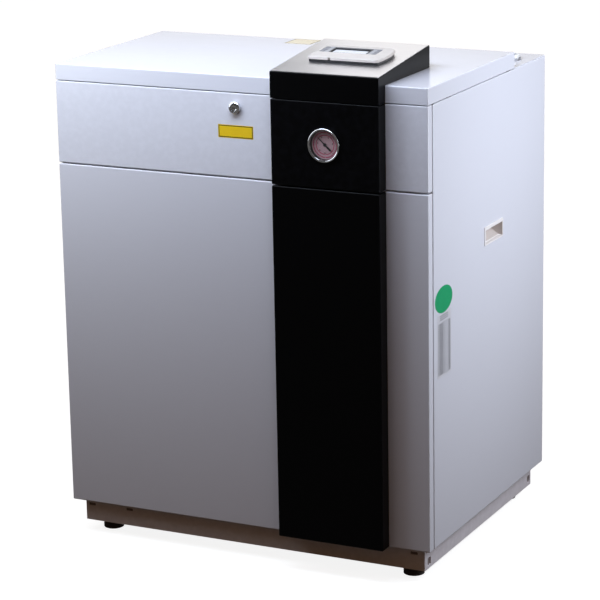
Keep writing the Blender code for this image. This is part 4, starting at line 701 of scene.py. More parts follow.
def screws(name, points, radius, height, quarter=1):
    """Zinc plated screw heads on the points, that face -Y after a quarter turn and +Y after one back."""
    repeated(name, "Screw heads", "zinc plate", CABINET, "zinc", points,
             head_radius=radius, head_height=height, recess_width=radius * 0.22, recess_depth=height * 0.55,
             turn=(quarter * math.pi / 2, 0, 0))


# Finishes

def object_place(tree):
    return put(tree, "ShaderNodeTexCoord").outputs["Object"]


def noise(tree, place, size, detail, **more):
    """A noise texture's mask, from the size of its features in metres."""
    values = {"Vector": place, "Scale": reckon(tree, "DIVIDE", 1.0, size), "Detail": detail}
    values.update((key.title(), value) for key, value in more.items())
    return put(tree, "ShaderNodeTexNoise", values).outputs["Fac"]


def orange_peel_group(name):
    """The fine ripple of powder coat and moulded plastic, as a height."""
    tree, given, ends = node_tree("ShaderNodeTree", name, {"Ripple": 0.0014}, "Height", "Float")
    tree.links.new(noise(tree, object_place(tree), given["Ripple"], 1.5, roughness=0.45), ends[0])
    return tree


def handling_group(name):
    """Faint clouds and smears that a wiped surface keeps, as a mask."""
    inputs = {"Cloud": 0.16, "Smear": 0.03, "Contrast": 1.6}
    tree, given, ends = node_tree("ShaderNodeTree", name, inputs, "Mask", "Float")
    place = object_place(tree)
    cloud = noise(tree, place, given["Cloud"], 4.0, roughness=0.55)
    stretch = result_of(tree, "ShaderNodeMapping", {
        "Vector": place, "Rotation": (0.4, 0.7, 0.3), "Scale": (1, 1, 3.5),
    })
    smear = noise(tree, stretch, given["Smear"], 3.0, distortion=0.8)
    both = reckon(tree, "MULTIPLY", cloud, smear)
    tree.links.new(reckon(tree, "MULTIPLY", both, given["Contrast"], use_clamp=True), ends[0])
    return tree


def edge_wear_and_highlight_group(name):
    """Where bends and rounded edges show wear and painted highlight, as a mask broken up by noise."""
    tree, given, ends = node_tree("ShaderNodeTree", name, {"Amount": 0.5, "Patch": 0.012}, "Mask", "Float")
    edge = put(tree, "ShaderNodeAttribute", attribute_name="edge", attribute_type="GEOMETRY")
    patch = noise(tree, object_place(tree), given["Patch"], 3.0)
    spread = result_of(tree, "ShaderNodeMapRange", {"Value": patch, "From Min": 0.4, "From Max": 0.72})
    wear_and_highlight = reckon(tree, "MULTIPLY", edge.outputs["Fac"], spread)
    tree.links.new(reckon(tree, "MULTIPLY", wear_and_highlight, given["Amount"]), ends[0])
    return tree


def brushed_group(name):
    """Fine parallel scratches across X, as a mask; Width is a scratch's width and Length its length."""
    inputs = {"Width": 0.00045, "Length": 0.03}
    tree, given, ends = node_tree("ShaderNodeTree", name, inputs, "Mask", "Float")
    thin, long = [reckon(tree, "DIVIDE", 1.0, given[key]) for key in ("Width", "Length")]
    scale = result_of(tree, "ShaderNodeCombineXYZ", {"X": long, "Y": thin, "Z": thin})
    place = object_place(tree)
    stretched = result_of(tree, "ShaderNodeVectorMath", {0: place, 1: scale}, operation="MULTIPLY")
    grain = put(tree, "ShaderNodeTexNoise", {"Vector": stretched, "Scale": 1.0, "Detail": 3.0})
    tree.links.new(grain.outputs["Fac"], ends[0])
    return tree


GROUPS = {
    "Orange peel": orange_peel_group,
    "Handling": handling_group,
    "Edge wear": edge_wear_and_highlight_group,
    "Brushed grain": brushed_group,
}


def effect(tree, name, **values):
    """Places a shared effect in a material with its own values, and gives its mask or height."""
    group = bpy.data.node_groups.get(name) or GROUPS[name](name)
    inputs = {key.title(): value for key, value in values.items()}
    return result_of(tree, "ShaderNodeGroup", inputs, node_tree=group)


def new_finish(name, roughness, metallic=0.0, specular=0.5, **sockets):
    """A material with its constant values set on the shader; returns it, its tree and the shader."""
    material = bpy.data.materials.new(name)
    material.use_nodes = True
    shader = material.node_tree.nodes["Principled BSDF"]
    constants = {"Roughness": roughness, "Metallic": metallic, "Specular IOR Level": specular}
    constants.update((socket_name(key), value) for key, value in sockets.items())
    for key, value in constants.items():
        shader.inputs[key].default_value = value
    return material, material.node_tree, shader


def feed(tree, shader, **sockets):
    """Links what changes over the surface to the shader's sockets."""
    for key, value in sockets.items():
        tree.links.new(value, shader.inputs[socket_name(key)])


def blended(tree, mask, low, high):
    """The low colour where the mask is 0 and the high one where it is 1."""
    mix = put(tree, "ShaderNodeMix", {"Factor": mask}, data_type="RGBA")
    for key, value in (("A", low), ("B", high)):
        socket = next(s for s in mix.inputs if s.name == key and s.type == "RGBA")
        if isinstance(value, bpy.types.NodeSocket):
            tree.links.new(value, socket)
        else:
            socket.default_value = (*value, 1)
    return next(s for s in mix.outputs if s.type == "RGBA")


def mixed(tree, mask, first, second):
    """The first shader where the mask is 0 and the second where it is 1."""
    return result_of(tree, "ShaderNodeMixShader", {0: mask, 1: first, 2: second})


def vary(tree, mask, low, high):
    return result_of(tree, "ShaderNodeMapRange", {"Value": mask, "To Min": low, "To Max": high})


def tinted(tone, factor):
    return tuple(min(1.0, c * factor) for c in tone)


def relief(tree, shader, height, strength, distance):
    feed(tree, shader, normal=result_of(tree, "ShaderNodeBump", {
        "Height": height, "Strength": strength, "Distance": distance,
    }))


def coated(name, base, roughness, specular, ripple, wear, worn_and_highlight_tone, depth, shade=0.94):
    """Paint or moulded plastic: a rippled skin, faint handling clouds and edges with wear and painted
    highlight.
    """
    material, tree, shader = new_finish(name, roughness, specular=specular)
    clouds = effect(tree, "Handling")
    body = blended(tree, clouds, base, tinted(base, shade))
    # Bends and edges turn lighter: partly wear, partly a painted highlight.
    wear_and_highlight = blended(tree, effect(tree, "Edge wear", amount=wear), body, worn_and_highlight_tone)
    feed(tree, shader, base_color=wear_and_highlight, roughness=vary(tree, clouds, roughness - 0.03, roughness + 0.07))
    relief(tree, shader, effect(tree, "Orange peel", ripple=ripple), 0.35, depth)
    return material


def metal(name, base, roughness, spread, stain, cloud):
    """Bare or plated metal: its tone and roughness drift a little over the surface."""
    material, tree, shader = new_finish(name, roughness, metallic=1.0)
    clouds = effect(tree, "Handling", cloud=cloud, smear=cloud / 5, contrast=2.2)
    body = blended(tree, clouds, base, tinted(base, stain))
    # Bends and edges turn lighter: partly wear, partly a painted highlight.
    wear_and_highlight = blended(tree, effect(tree, "Edge wear", amount=0.6), body, tinted(base, 1.15))
    feed(tree, shader, base_color=wear_and_highlight, roughness=vary(tree, clouds, roughness, roughness + spread))
    return material


def printed(name, low, high, roughness=0.45, specular=0.35, cloud=0.02, smear=0.006, contrast=1.8):
    """Printing ink, film or a printed dial, a little uneven in tone."""
    material, tree, shader = new_finish(name, roughness, specular=specular)
    clouds = effect(tree, "Handling", cloud=cloud, smear=smear, contrast=contrast)
    feed(tree, shader, base_color=blended(tree, clouds, low, high))
    return material


def zinc_plate(name):
    """Galvanised sheet, with the flaked spangle of its crystals."""
    zinc = settings("paints").zinc
    material, tree, shader = new_finish(name, 0.4, metallic=1.0)
    place = object_place(tree)
    flakes = put(tree, "ShaderNodeTexVoronoi", {"Vector": place, "Scale": 170.0, "Randomness": 1.0})
    tone = put(tree, "ShaderNodeSeparateColor", {"Color": flakes.outputs["Color"]}).outputs
    base = blended(tree, tone[0], tinted(zinc, 0.82), tinted(zinc, 1.08))
    feed(tree, shader, base_color=base, roughness=vary(tree, tone[1], 0.34, 0.5))
    return material


def brushed_steel(name):
    """The console's bright plate, with fine scratches from side to side."""
    steel = settings("paints").brushed
    material, tree, shader = new_finish(name, 0.27, metallic=1.0)
    grain = effect(tree, "Brushed grain")
    clouds = effect(tree, "Handling", cloud=0.12, smear=0.02)
    base = blended(tree, grain, tinted(steel, 0.86), tinted(steel, 1.06))
    feed(tree, shader, base_color=base, roughness=vary(tree, reckon(tree, "ADD", grain, clouds), 0.22, 0.36))
    relief(tree, shader, grain, 0.25, 0.00004)
    return material


def clear_glass(name):
    """Thin clear glass that lets the lamps' light through to what lies behind it."""
    tone = (0.94, 0.96, 0.95, 1)
    material, tree, shader = new_finish(name, 0.015, transmission_weight=1.0, base_color=tone)
    shader.inputs["IOR"].default_value = 1.45
    smudge = effect(tree, "Handling", cloud=0.03, smear=0.008)
    feed(tree, shader, roughness=vary(tree, smudge, 0.01, 0.05))
    path = put(tree, "ShaderNodeLightPath")
    clear = result_of(tree, "ShaderNodeBsdfTransparent", {"Color": (0.80, 0.82, 0.81, 1)})
    mix = mixed(tree, path.outputs["Is Shadow Ray"], shader.outputs[0], clear)
    tree.links.new(mix, tree.nodes["Material Output"].inputs["Surface"])
    return material


def screen_glass(name):
    """A switched-on monochrome display: pale, with its fine pixel rows."""
    material, tree, shader = new_finish(name, 0.16)
    rows = put(tree, "ShaderNodeTexWave", {"Vector": object_place(tree), "Scale": 210.0}, bands_direction="X")
    feed(tree, shader, base_color=blended(tree, rows.outputs["Fac"], (0.80, 0.80, 0.81), (0.86, 0.86, 0.87)))
    return material


def board_lacquer(name):
    """Green solder mask over copper tracks."""
    material, tree, shader = new_finish(name, 0.3)
    turned_place = {"Vector": object_place(tree), "Rotation": (math.pi / 2, 0, 0)}
    tracks = put(tree, "ShaderNodeTexBrick", {
        "Vector": result_of(tree, "ShaderNodeMapping", turned_place), "Color1": (0, 0, 0, 1),
        "Color2": (0.5, 0.5, 0.5, 1), "Mortar": (1, 1, 1, 1), "Mortar Size": 0.012, "Bias": 0.1,
        "Scale": 38.0,
    }).outputs["Fac"]
    feed(tree, shader, base_color=blended(tree, tracks, (0.010, 0.105, 0.045), (0.03, 0.21, 0.085)))
    relief(tree, shader, tracks, 0.4, 0.00004)
    return material


def palette():
    """The makers of the finishes, each with the numbers that it takes after a finish's name."""
    paints = settings("paints")
    white, black, grey = paints.white, paints.black, paints.base_grey
    # A coat's sixth number is the lighter tone of its bends and edges: partly wear, partly a painted
    # highlight.
    coats = {
        "white powder coat": (white, 0.17, 0.5, 0.0022, 0.5, tinted(white, 1.08), 0.00003, 0.98),
        "black powder coat": (black, 0.31, 0.105, 0.0013, 0.5, tinted(black, 6.0), 0.00006, 1.3),
        "base paint": (grey, 0.5, 0.35, 0.0018, 0.7, tinted(grey, 1.12), 0.00006, 0.96),
        "ivory plastic": (paints.ivory, 0.42, 0.4, 0.0008, 0.2, tinted(paints.ivory, 1.05), 0.00003),
        # The pocket's darker ivory is painted shade for the inside of the handle's recess.
        "pocket plastic": ((0.70, 0.635, 0.60), 0.55, 0.3, 0.0008, 0.2, (0.74, 0.68, 0.64), 0.00003),
        "silver plastic": (paints.silver, 0.34, 0.5, 0.0005, 0.35, tinted(paints.silver, 1.12), 0.00002),
        "dark plastic": ((0.018, 0.018, 0.020), 0.42, 0.4, 0.0006, 0.4, (0.06, 0.06, 0.065), 0.00003),
        "needle black": ((0.010, 0.008, 0.009), 0.5, 0.3, 0.0006, 0.3, (0.04, 0.035, 0.04), 0.00001),
        "grey plastic": ((0.30, 0.31, 0.33), 0.45, 0.4, 0.0007, 0.3, (0.42, 0.43, 0.45), 0.00003),
        "key plastic": ((0.235, 0.235, 0.25), 0.5, 0.35, 0.0005, 0.5, (0.40, 0.40, 0.42), 0.00002),
        "keypad film": ((0.36, 0.36, 0.375), 0.45, 0.35, 0.0006, 0.3, (0.46, 0.46, 0.475), 0.00001),
        # The clip plate's dark tone is painted shade for the base's slots and holes.
        "clip plate": ((0.24, 0.20, 0.19), 0.5, 0.35, 0.0012, 0.3, (0.32, 0.28, 0.27), 0.00003),
        "black rubber": ((0.050, 0.038, 0.036), 0.75, 0.25, 0.0012, 0.5, (0.09, 0.075, 0.07), 0.00009),
        "grey rubber": ((0.42, 0.43, 0.46), 0.7, 0.25, 0.0012, 0.3, (0.5, 0.51, 0.54), 0.00006),
        "black enamel": ((0.012, 0.012, 0.014), 0.24, 0.5, 0.0022, 0.5, (0.07, 0.07, 0.075), 0.00008),
    }
    metals = {
        "chrome": (paints.chrome, 0.05, 0.05, 0.9, 0.02),
        "stainless steel": ((0.60, 0.60, 0.60), 0.26, 0.12, 0.85, 0.06),
        "copper": (paints.copper, 0.26, 0.16, 0.72, 0.06),
        "brass": (paints.brass, 0.24, 0.12, 0.8, 0.03),
        "nickel plate": ((0.78, 0.78, 0.78), 0.62, 0.14, 0.95, 0.03),
    }
    inks = {
        "yellow film": paints.yellow, "green film": paints.green, "pale yellow film": (0.99, 0.89, 0.66),
        "olive ink": (0.13, 0.105, 0.008), "grey ink": (0.15, 0.15, 0.17), "pale film": (0.69, 0.69, 0.73),
        "black ink": (0.03, 0.025, 0.028), "red ink": (0.46, 0.022, 0.095), "white ink": (0.75, 0.75, 0.75),
        "wire brown": (0.095, 0.035, 0.015), "wire blue": (0.02, 0.10, 0.42), "wire red": (0.42, 0.02, 0.015),
        "wire black": (0.012, 0.012, 0.013), "wire green": (0.09, 0.30, 0.02),
        "relay blue": (0.025, 0.075, 0.22), "connector green": (0.02, 0.22, 0.06),
    }
    prints = {name: (tone, tinted(tone, 0.86)) for name, tone in inks.items()}
    prints["dial face"] = ((0.60, 0.37, 0.39), (0.48, 0.29, 0.32), 0.5, 0.3, 0.012, 0.004, 2.4)
    others = {
        zinc_plate: "zinc plate", brushed_steel: "brushed steel", clear_glass: "clear glass",
        screen_glass: "display screen", board_lacquer: "circuit board",
    }
    tables = {coated: coats, metal: metals, printed: prints}
    tables.update((make, {name: ()}) for make, name in others.items())
    return tables


def finish(name):
    """The named material, made when it is first asked for."""
    found = bpy.data.materials.get(name)
    if found:
        return found
    return next(make(name, *table[name]) for make, table in palette().items() if name in table)


def piece(name, bm, finishes, body, slot, *nodes, **softening):
    """A closed mesh in its named finish or finishes, settled on its body."""
    names = [finishes] if isinstance(finishes, str) else finishes
    return settle(solid(name, bm, *[finish(word) for word in names]), body, slot, *nodes, **softening)


def dress(node, finish_name, slot, softness=0.0, steps=1, body=CABINET):
    """A node's own mesh in its finish, in the node's place."""
    return settle(dressed(node, finish(finish_name)), body, slot, node, softness=softness, steps=steps)


def sheet_tray(name, node, open_side, finish_name, sheet=None, low=None, high=None):
    """A folded sheet piece in a node's place."""
    sizes = settings("cabinet")
    node_low, node_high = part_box(node)
    bm = folded(low or node_low, high or node_high, open_side, sizes.bend, sizes.bend_steps)
    return walled(make_object(name, bm, finish(finish_name)), sheet or sizes.sheet)


# Cabinet

class HEATPUMP_OT_side_panels(bpy.types.Operator):
    """Makes the left and the right side panel, with the hole for the handle and the tabs under the lid"""

    bl_idname = "heat_pump.side_panels"
    bl_label = "Side Panels"

    def execute(self, context):
        sizes = settings("cabinet")
        handle = settings("handle")
        inset = handle.rim - handle.wall - 0.0003
        top = REAR_HIGH.z
        for side, sign in (("left", -1), ("right", 1)):
            node = f"{side}_side_panel"
            low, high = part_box(node)
            grip_low, grip_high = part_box(f"{side}_handle")
            panel = sheet_tray(f"{side}_panel_sheet", node, "-X" if sign > 0 else "+X", "white powder coat",
                               low=(low.x, low.y + sizes.side_gap, low.z), high=(high.x, high.y, top))
            hole_low = (low.x - OVERCUT, grip_low.y + inset, grip_low.z + inset)
            hole_high = (high.x + OVERCUT, grip_high.y - inset, grip_high.z - inset)
            bored(panel, block(hole_low, hole_high))
            outer = high.x if sign > 0 else low.x
            tabs = []
            for share in (0.12, 0.62):
                start = low.y + share * (DECK_HIGH.y - DOOR_LOW.y)
                xs = sorted((outer - sign * sizes.bend, outer - sign * (sizes.bend + 0.008)))
                tabs.append(slab((xs[0], start, top - 0.0004), (xs[1], start + 0.020, high.z), 0.0003))
            settle(panel, CABINET, "white_powder_coat", node)
            piece(f"{side}_lid_seats", merged(*tabs), "black rubber", CABINET, "rubber")
        return {"FINISHED"}


class HEATPUMP_OT_rear_panel(bpy.types.Operator):
    """Makes the rear panel, with its sunk screws"""

    bl_idname = "heat_pump.rear_panel"
    bl_label = "Rear Panel"

    def execute(self, context):
        sizes = settings("cabinet")
        panel = sheet_tray("rear_panel_sheet", "rear_panel", "-Y", "white powder coat")
        left, right = REAR_LOW.x + sizes.screw_inset, REAR_HIGH.x - sizes.screw_inset
        bottom, top = REAR_LOW.z + sizes.screw_inset, REAR_HIGH.z - sizes.screw_inset
        spots = []
        for number in range(sizes.screws_across):
            x = left + (right - left) * number / (sizes.screws_across - 1)
            spots += [(x, bottom), (x, top)]
        for number in range(1, sizes.screws_up + 1):
            z = bottom + (top - bottom) * number / (sizes.screws_up + 1)
            spots += [(left, z), (right, z)]
        face, sink, radius = REAR_HIGH.y, sizes.screw_sink, sizes.screw_radius
        dimple = [(0, -sink), (radius, -sink), (radius * 1.35, 0.0002), (0, 0.0002)]
        bored(panel, *[turned(dimple, 24, (x, face, z), "Y") for x, z in spots])
        settle(panel, CABINET, "white_powder_coat", "rear_panel")
        screws("rear_panel_screws", [(x, face - sink, z) for x, z in spots], radius * 0.94, sink * 0.9, -1)
        return {"FINISHED"}


class HEATPUMP_OT_lower_front(bpy.types.Operator):
    """Makes the lower front panel and the black cover of the column's lower part"""

    bl_idname = "heat_pump.lower_front"
    bl_label = "Lower Front"

    def execute(self, context):
        panel = sheet_tray("lower_front_sheet", "lower_front_panel", "+Y", "white powder coat")
        settle(panel, CABINET, "white_powder_coat", "lower_front_panel")
        cover = sheet_tray("lower_column_sheet", "lower_column_cover", "+Y", "black powder coat")
        settle(cover, CABINET, "black_powder_coat", "lower_column_cover")
        return {"FINISHED"}


class HEATPUMP_OT_service_door(bpy.types.Operator):
    """Makes the hinged service door: the upper front panel and the column's upper cover"""

    bl_idname = "heat_pump.service_door"
    bl_label = "Service Door"

    def execute(self, context):
        lock, dial = middle_of("lock_body"), middle_of("gauge_case")
        pin = (DOOR_LOW.x + 0.0055, DOOR_LOW.y + 0.0125, 0)
        panel = sheet_tray("door_sheet", "upper_front_panel", "+Y", "white powder coat")
        pins = [rod(0.0023, z - OVERCUT, z + OVERCUT, 20, pin) for z in (DOOR_LOW.z, DOOR_HIGH.z)]
        bored(panel, rod(0.0093, -OVERCUT, OVERCUT, 32, (lock.x, DOOR_LOW.y, lock.z), "Y"), *pins)
        settle(panel, DOOR, "white_powder_coat", "upper_front_panel")
        cover = sheet_tray("upper_column_sheet", "upper_column_cover", "+Y", "black powder coat")
        radius = settings("gauge").case_radius + 0.0003
        bored(cover, rod(radius, -OVERCUT, OVERCUT, 56, (dial.x, COVER_LOW.y, dial.z), "Y"))
        settle(cover, DOOR, "black_powder_coat", "upper_column_cover")
        return {"FINISHED"}


class HEATPUMP_OT_lid(bpy.types.Operator):
    """Makes the lid, with the folds that stiffen its sides, and the deck behind it with its holes"""

    bl_idname = "heat_pump.lid"
    bl_label = "Lid and Rear Deck"

    def execute(self, context):
        sizes = settings("cabinet")
        cover = sheet_tray("lid_sheet", "lid", "-Z", "white powder coat")
        settle(cover, CABINET, "white_powder_coat", "lid")
        folds = []
        for sign in (-1, 1):
            xs = sorted((sign * (HALF_WIDTH - sizes.sheet - 0.012), sign * (HALF_WIDTH - sizes.sheet)))
            low = (xs[0], LID_LOW.y + 0.040, LID_LOW.z)
            folds.append(slab(low, (xs[1], LID_HIGH.y - 0.040, LID_LOW.z + sizes.sheet), sizes.softness))
        piece("lid_folds", merged(*folds), "white powder coat", CABINET, "white_powder_coat")
        dress("rear_deck", "white powder coat", "white_powder_coat", sizes.softness, 2)
        return {"FINISHED"}


def hole_shade_clip_nuts(slots, holes, sheet):
    """A dark clip nut behind each slot and hole, so that nothing shines through; its dark tone paints the
    shade inside the holes.
    """
    near, far, half = sheet + 0.0002, sheet + 0.006, 0.0105
    nuts = [pad(x, z, half, 0.0065, y + near, y + far, 0.0008) for x, y, z in slots]
    for x, y, z in holes:
        xs = sorted((x - math.copysign(near, x), x - math.copysign(far, x)))
        nuts.append(slab((xs[0], y - half, z - half), (xs[1], y + half, z + half), 0.0008))
    piece("base_hole_shade_clip_nuts", merged(*nuts), "clip plate", CABINET, "dark_plastic")


def levelling_foot(place, x, y, top, under):
    """A ribbed rubber pad, and the threaded stud with its hexagon nut under the pan's sheet."""
    profile = [(0, 0), (0.0195, 0), (0.0207, 0.0006), (0.021, 0.0020), (0.021, 0.0034), (0.0202, 0.0040)]
    profile += [(0.0202, 0.0050), (0.021, 0.0056), (0.021, 0.0078), (0.0206, 0.0092), (0.0186, 0.0142)]
    profile += [(0.0176, 0.0168), (0.0166, 0.0178), (0.0155, 0.018), (0, 0.018)]
    pad_skin = turned(profile, 48, (x, y, 0))
    piece(f"foot_pad_{place}", pad_skin, "black rubber", f"foot_{place}", "rubber", f"levelling_foot_{place}")
    pitch, crest, root = 0.0015, 0.0050, 0.0044
    profile, z = [(0, 0.0176)], 0.0178
    while z < top - 0.001:
        profile += [(crest, z), (crest, z + pitch * 0.25), (root, z + pitch * 0.5), (root, z + pitch * 0.75)]
        z += pitch
    profile += [(root, top - 0.0004), (0.004, top), (0, top)]
    nut = [(0.0051, under - 0.008), (0.0088, under - 0.008), (0.0095, under - 0.0074)]
    nut += [(0.0095, under - 0.0006), (0.0088, under), (0.0051, under)]
    stud = merged(turned(profile, 20, (x, y, 0)), turned(nut, 6, (x, y, 0)))
    piece(f"foot_stud_{place}", stud, "zinc plate", f"foot_{place}", "zinc")


class HEATPUMP_OT_base(bpy.types.Operator):
    """Makes the base pan with its slots, and the four levelling feet with their studs and nuts"""

    bl_idname = "heat_pump.base"
    bl_label = "Base and Feet"

    def execute(self, context):
        sheet = settings("cabinet").base_sheet
        pan = sheet_tray("base_pan_sheet", "base_pan", "-Z", "base paint", sheet)
        y0, y1 = BASE_LOW.y, BASE_HIGH.y
        slot_z, hole_z = BASE_HIGH.z - 0.0178, BASE_LOW.z + 0.0145
        slots = [(at, y0, slot_z) for at in (-HALF_WIDTH + 0.034, -HALF_WIDTH + 0.122, HALF_WIDTH - 0.042)]
        holes = [(x, y, hole_z) for x in (BASE_LOW.x, BASE_HIGH.x) for y in (y0 + 0.0208, y1 - 0.0146)]
        cutters = []
        for x, y, z in slots:
            loop = moved(rounded_loop(0.0078, 0.0030, 0.0018), x, z)
            cutters.append(drawn(loop, "Y", y - OVERCUT, y + OVERCUT))
        for x, y, z in holes:
            loop = moved(rounded_loop(0.0077, 0.0077, 0.003), y, z)
            cutters.append(drawn(loop, "X", x - OVERCUT, x + OVERCUT))
        feet = {}
        for place in ("front_left", "front_right", "rear_left", "rear_right"):
            low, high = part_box(f"levelling_foot_{place}")
            feet[place] = ((low.x + high.x) / 2, (low.y + high.y) / 2, high.z)
        for x, y, top in feet.values():
            cutters.append(rod(0.006, BASE_HIGH.z - OVERCUT, BASE_HIGH.z + OVERCUT, 24, (x, y, 0)))
        bored(pan, *cutters)
        settle(pan, CABINET, "grey_paint", "base_pan")
        hole_shade_clip_nuts(slots, holes, sheet)
        for place, (x, y, top) in feet.items():
            levelling_foot(place, x, y, top, BASE_HIGH.z - sheet - 0.0003)
        return {"FINISHED"}


def pocket_ring(half_u, half_v, corner, turn):
    """A rounded rectangle with a point more on each side, where the floor turns upright."""
    outline = rounded_loop(half_u, half_v, corner, 5)
    half = len(outline) // 2
    return outline[:half] + [(half_u, turn)] + outline[half:] + [(-half_u, turn)]


def scoop_share(height, lowest, turn):
    """Share of the pocket's full depth: little at its lower edge, all of it from the turn upwards."""
    ledge = settings("handle").ledge
    return ledge + (1 - ledge) * min(1, (height - lowest) / (turn - lowest))


def split_floor(bm, count):
    """Parts the pocket's floor at the turn into a ramp and an upright back."""
    bm.verts.ensure_lookup_table()
    bm.faces.ensure_lookup_table()
    first = len(bm.verts) - count
    bmesh.utils.face_split(bm.faces[-1], bm.verts[first + count // 2 - 1], bm.verts[-1])


class HEATPUMP_OT_handles(bpy.types.Operator):
    """Makes the two recessed handles"""

    bl_idname = "heat_pump.handles"
    bl_label = "Handles"

    def execute(self, context):
        sizes = settings("handle")
        r, rim, wall = sizes.round, sizes.rim, sizes.wall
        for side, sign in (("left", -1), ("right", 1)):
            low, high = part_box(f"{side}_handle")
            middle = (low + high) / 2
            face = high.x if sign > 0 else low.x
            pocket = high.x - low.x - wall
            place = Matrix.Translation((face, middle.y, middle.z)) @ Matrix(
                ((0, 0, sign, 0), (sign, 0, 0, 0), (0, 1, 0, 0), (0, 0, 0, 1))
            )
            half_u, half_v = (high.y - low.y) / 2, (high.z - low.z) / 2
            skins = [(0, -0.0017), (0, -r)]
            skins += [(r * (1 - math.cos(t)), -r * (1 - math.sin(t))) for t in (0.4, 0.8, 1.2, 1.571)]
            skins += [(rim - r, 0)]
            skins += [(rim - r * math.cos(t), -r * (1 - math.sin(t))) for t in (1.2, 0.8, 0.4, 0)]
            skins += [(rim + sizes.taper, -pocket + 0.0016), (rim + sizes.taper + 0.0012, -pocket)]
            turn = -half_v + rim + sizes.ramp
            loops = []
            for inset, depth in skins:
                corner = max(sizes.corner - inset * 0.4, 0.0008)
                drop = sizes.drop * (inset >= rim - r)
                loop = []
                for u, v in pocket_ring(half_u - inset, half_v - inset, corner, turn):
                    share = scoop_share(v, -half_v + inset, turn) if inset > rim else 1
                    loop.append((u, v - drop, depth * share))
                loops.append(loop)
            outer = []
            behind = [(rim + sizes.taper - wall + 0.0004, -pocket - wall + 0.0003), (rim - wall, -0.0019)]
            for inset, depth in behind:
                outline = pocket_ring(half_u - inset, half_v - inset, sizes.corner * 0.6, turn)
                outer.append(moved(outline, 0, 0, depth))
            pocket_skin = lofted(loops, place)
            split_floor(pocket_skin, len(loops[-1]))
            bm = merged(pocket_skin, lofted([loops[0], outer[1], outer[0]], place))
            bmesh.ops.remove_doubles(bm, verts=bm.verts, dist=1e-6)
            grip = solid(f"{side}_grip", bm, finish("ivory plastic"), finish("pocket plastic"))
            # Faces deep in the pocket take the darker finish, which paints the shade of the recess.
            for flat in grip.data.polygons:
                away = flat.center - middle
                inside = abs(away.y) < half_u - rim and abs(away.z) < half_v - rim
                flat.material_index = int(inside and abs(flat.center.x - face) > 2 * r)
            settle(grip, CABINET, "ivory_plastic", f"{side}_handle")
        return {"FINISHED"}


# Console on the lid

def slope_matrix():
    """The frame of the console's top: its Y up the slope, its Z square to it."""
    sizes = settings("console")
    corner = (COLUMN_MIDDLE, HOUSING_LOW.y, LID_HIGH.z + sizes.rise)
    return Matrix.Translation(corner) @ Matrix.Rotation(sizes.slope, 4, "X")


def sloped(bm):
    bmesh.ops.transform(bm, matrix=slope_matrix(), verts=bm.verts)
    return bm


class HEATPUMP_OT_console(bpy.types.Operator):
    """Makes the console's wedge-shaped housing and its bright top plate"""

    bl_idname = "heat_pump.console"
    bl_label = "Console"

    def execute(self, context):
        sizes = settings("console")
        x0, y0, z0 = HOUSING_LOW
        x1, y1 = HOUSING_HIGH.x, HOUSING_HIGH.y
        front_top = LID_HIGH.z + sizes.rise
        back_top = front_top + (y1 - y0) * math.tan(sizes.slope)
        step_y, step_z = DOOR_LOW.y - sizes.gap, LID_HIGH.z + sizes.gap
        outline = [(y0, z0), (y0, front_top), (y1, back_top), (y1, step_z), (step_y, step_z), (step_y, z0)]
        bm = drawn(outline, "X", x0, x1)
        upper = [e for e in bm.edges if min(v.co.z for v in e.verts) > step_z + 0.002 or
                 (abs(e.verts[0].co.z - e.verts[1].co.z) > 0.01 and e.verts[0].co.y != step_y)]
        bmesh.ops.bevel(bm, geom=upper, offset=sizes.edge, segments=4, profile=0.5, affect="EDGES")
        housing = solid("console_wedge", bm, finish("black powder coat"))
        wall = sizes.wall
        top0 = front_top - wall
        top1 = top0 + (y1 - y0 - 2 * wall) * math.tan(sizes.slope)
        below = z0 - OVERCUT
        hollow = [(y0 + wall, below), (y0 + wall, top0), (y1 - wall, top1), (y1 - wall, below)]
        bored(housing, drawn(hollow, "X", x0 + wall, x1 - wall))
        settle(housing, CABINET, "black_powder_coat", "console_housing")
        half = (x1 - x0) / 2 - sizes.plate_margin
        middle = (y1 - y0) / math.cos(sizes.slope) / 2
        top = sizes.gap + sizes.plate_thickness
        loops = []
        for inset, z in ((0, sizes.gap), (0, top - 0.0004), (0.00012, top - 0.00012), (0.0004, top)):
            outline = rounded_loop(half - inset, middle - sizes.plate_margin - inset, 0.001, 3)
            loops.append(moved(outline, 0, middle, z))
        plate = lofted(loops, slope_matrix(), cap_first=True)
        piece("console_plate", plate, "brushed steel", CABINET, "brushed_steel", "console_top_plate")
        return {"FINISHED"}


def shell_outline(inset):
    """The controller's outline, drawn in by the inset: its right side swells, its corners are unlike."""
    sizes = settings("controller")
    x0 = sizes.shift - sizes.width / 2 + inset
    x1 = x0 + sizes.width - 2 * inset
    y0, y1 = sizes.start + inset, sizes.start + sizes.depth - inset
    corners = [(x0, y0, 1, 1, 0.003), (x1, y0, -1, 1, 0.006), (x1, y1, -1, -1, 0.012), (x0, y1, 1, -1, 0.010)]
    outline = []
    for number, (x, y, sx, sy, radius) in enumerate(corners):
        radius = max(radius - inset, 0.0012)
        start = math.pi + number * math.pi / 2
        outline += arc(radius, (x + sx * radius, y + sy * radius), start, start + math.pi / 2, 6)
        if number == 1:
            outline += [(x1, y0 + (y1 - y0) * share) for share in (0.2, 0.3, 0.4, 0.5, 0.6, 0.7, 0.8)]
    swollen = []
    for x, y in outline:
        across = (2 * y - y0 - y1) / (y1 - y0)
        swollen.append((x + sizes.bulge * (1 - across ** 2), y) if x > sizes.shift else (x, y))
    return swollen


def controller_base(sizes, bottom, top):
    steps = ((0.0006, bottom), (0, bottom + 0.0006), (0, top))
    loops = [moved(shell_outline(sizes.base_inset + inset), 0, 0, z) for inset, z in steps]
    bm = lofted(loops, slope_matrix(), cap_first=True)
    piece("controller_foot", bm, "dark plastic", CABINET, "dark_plastic", "controller_base")


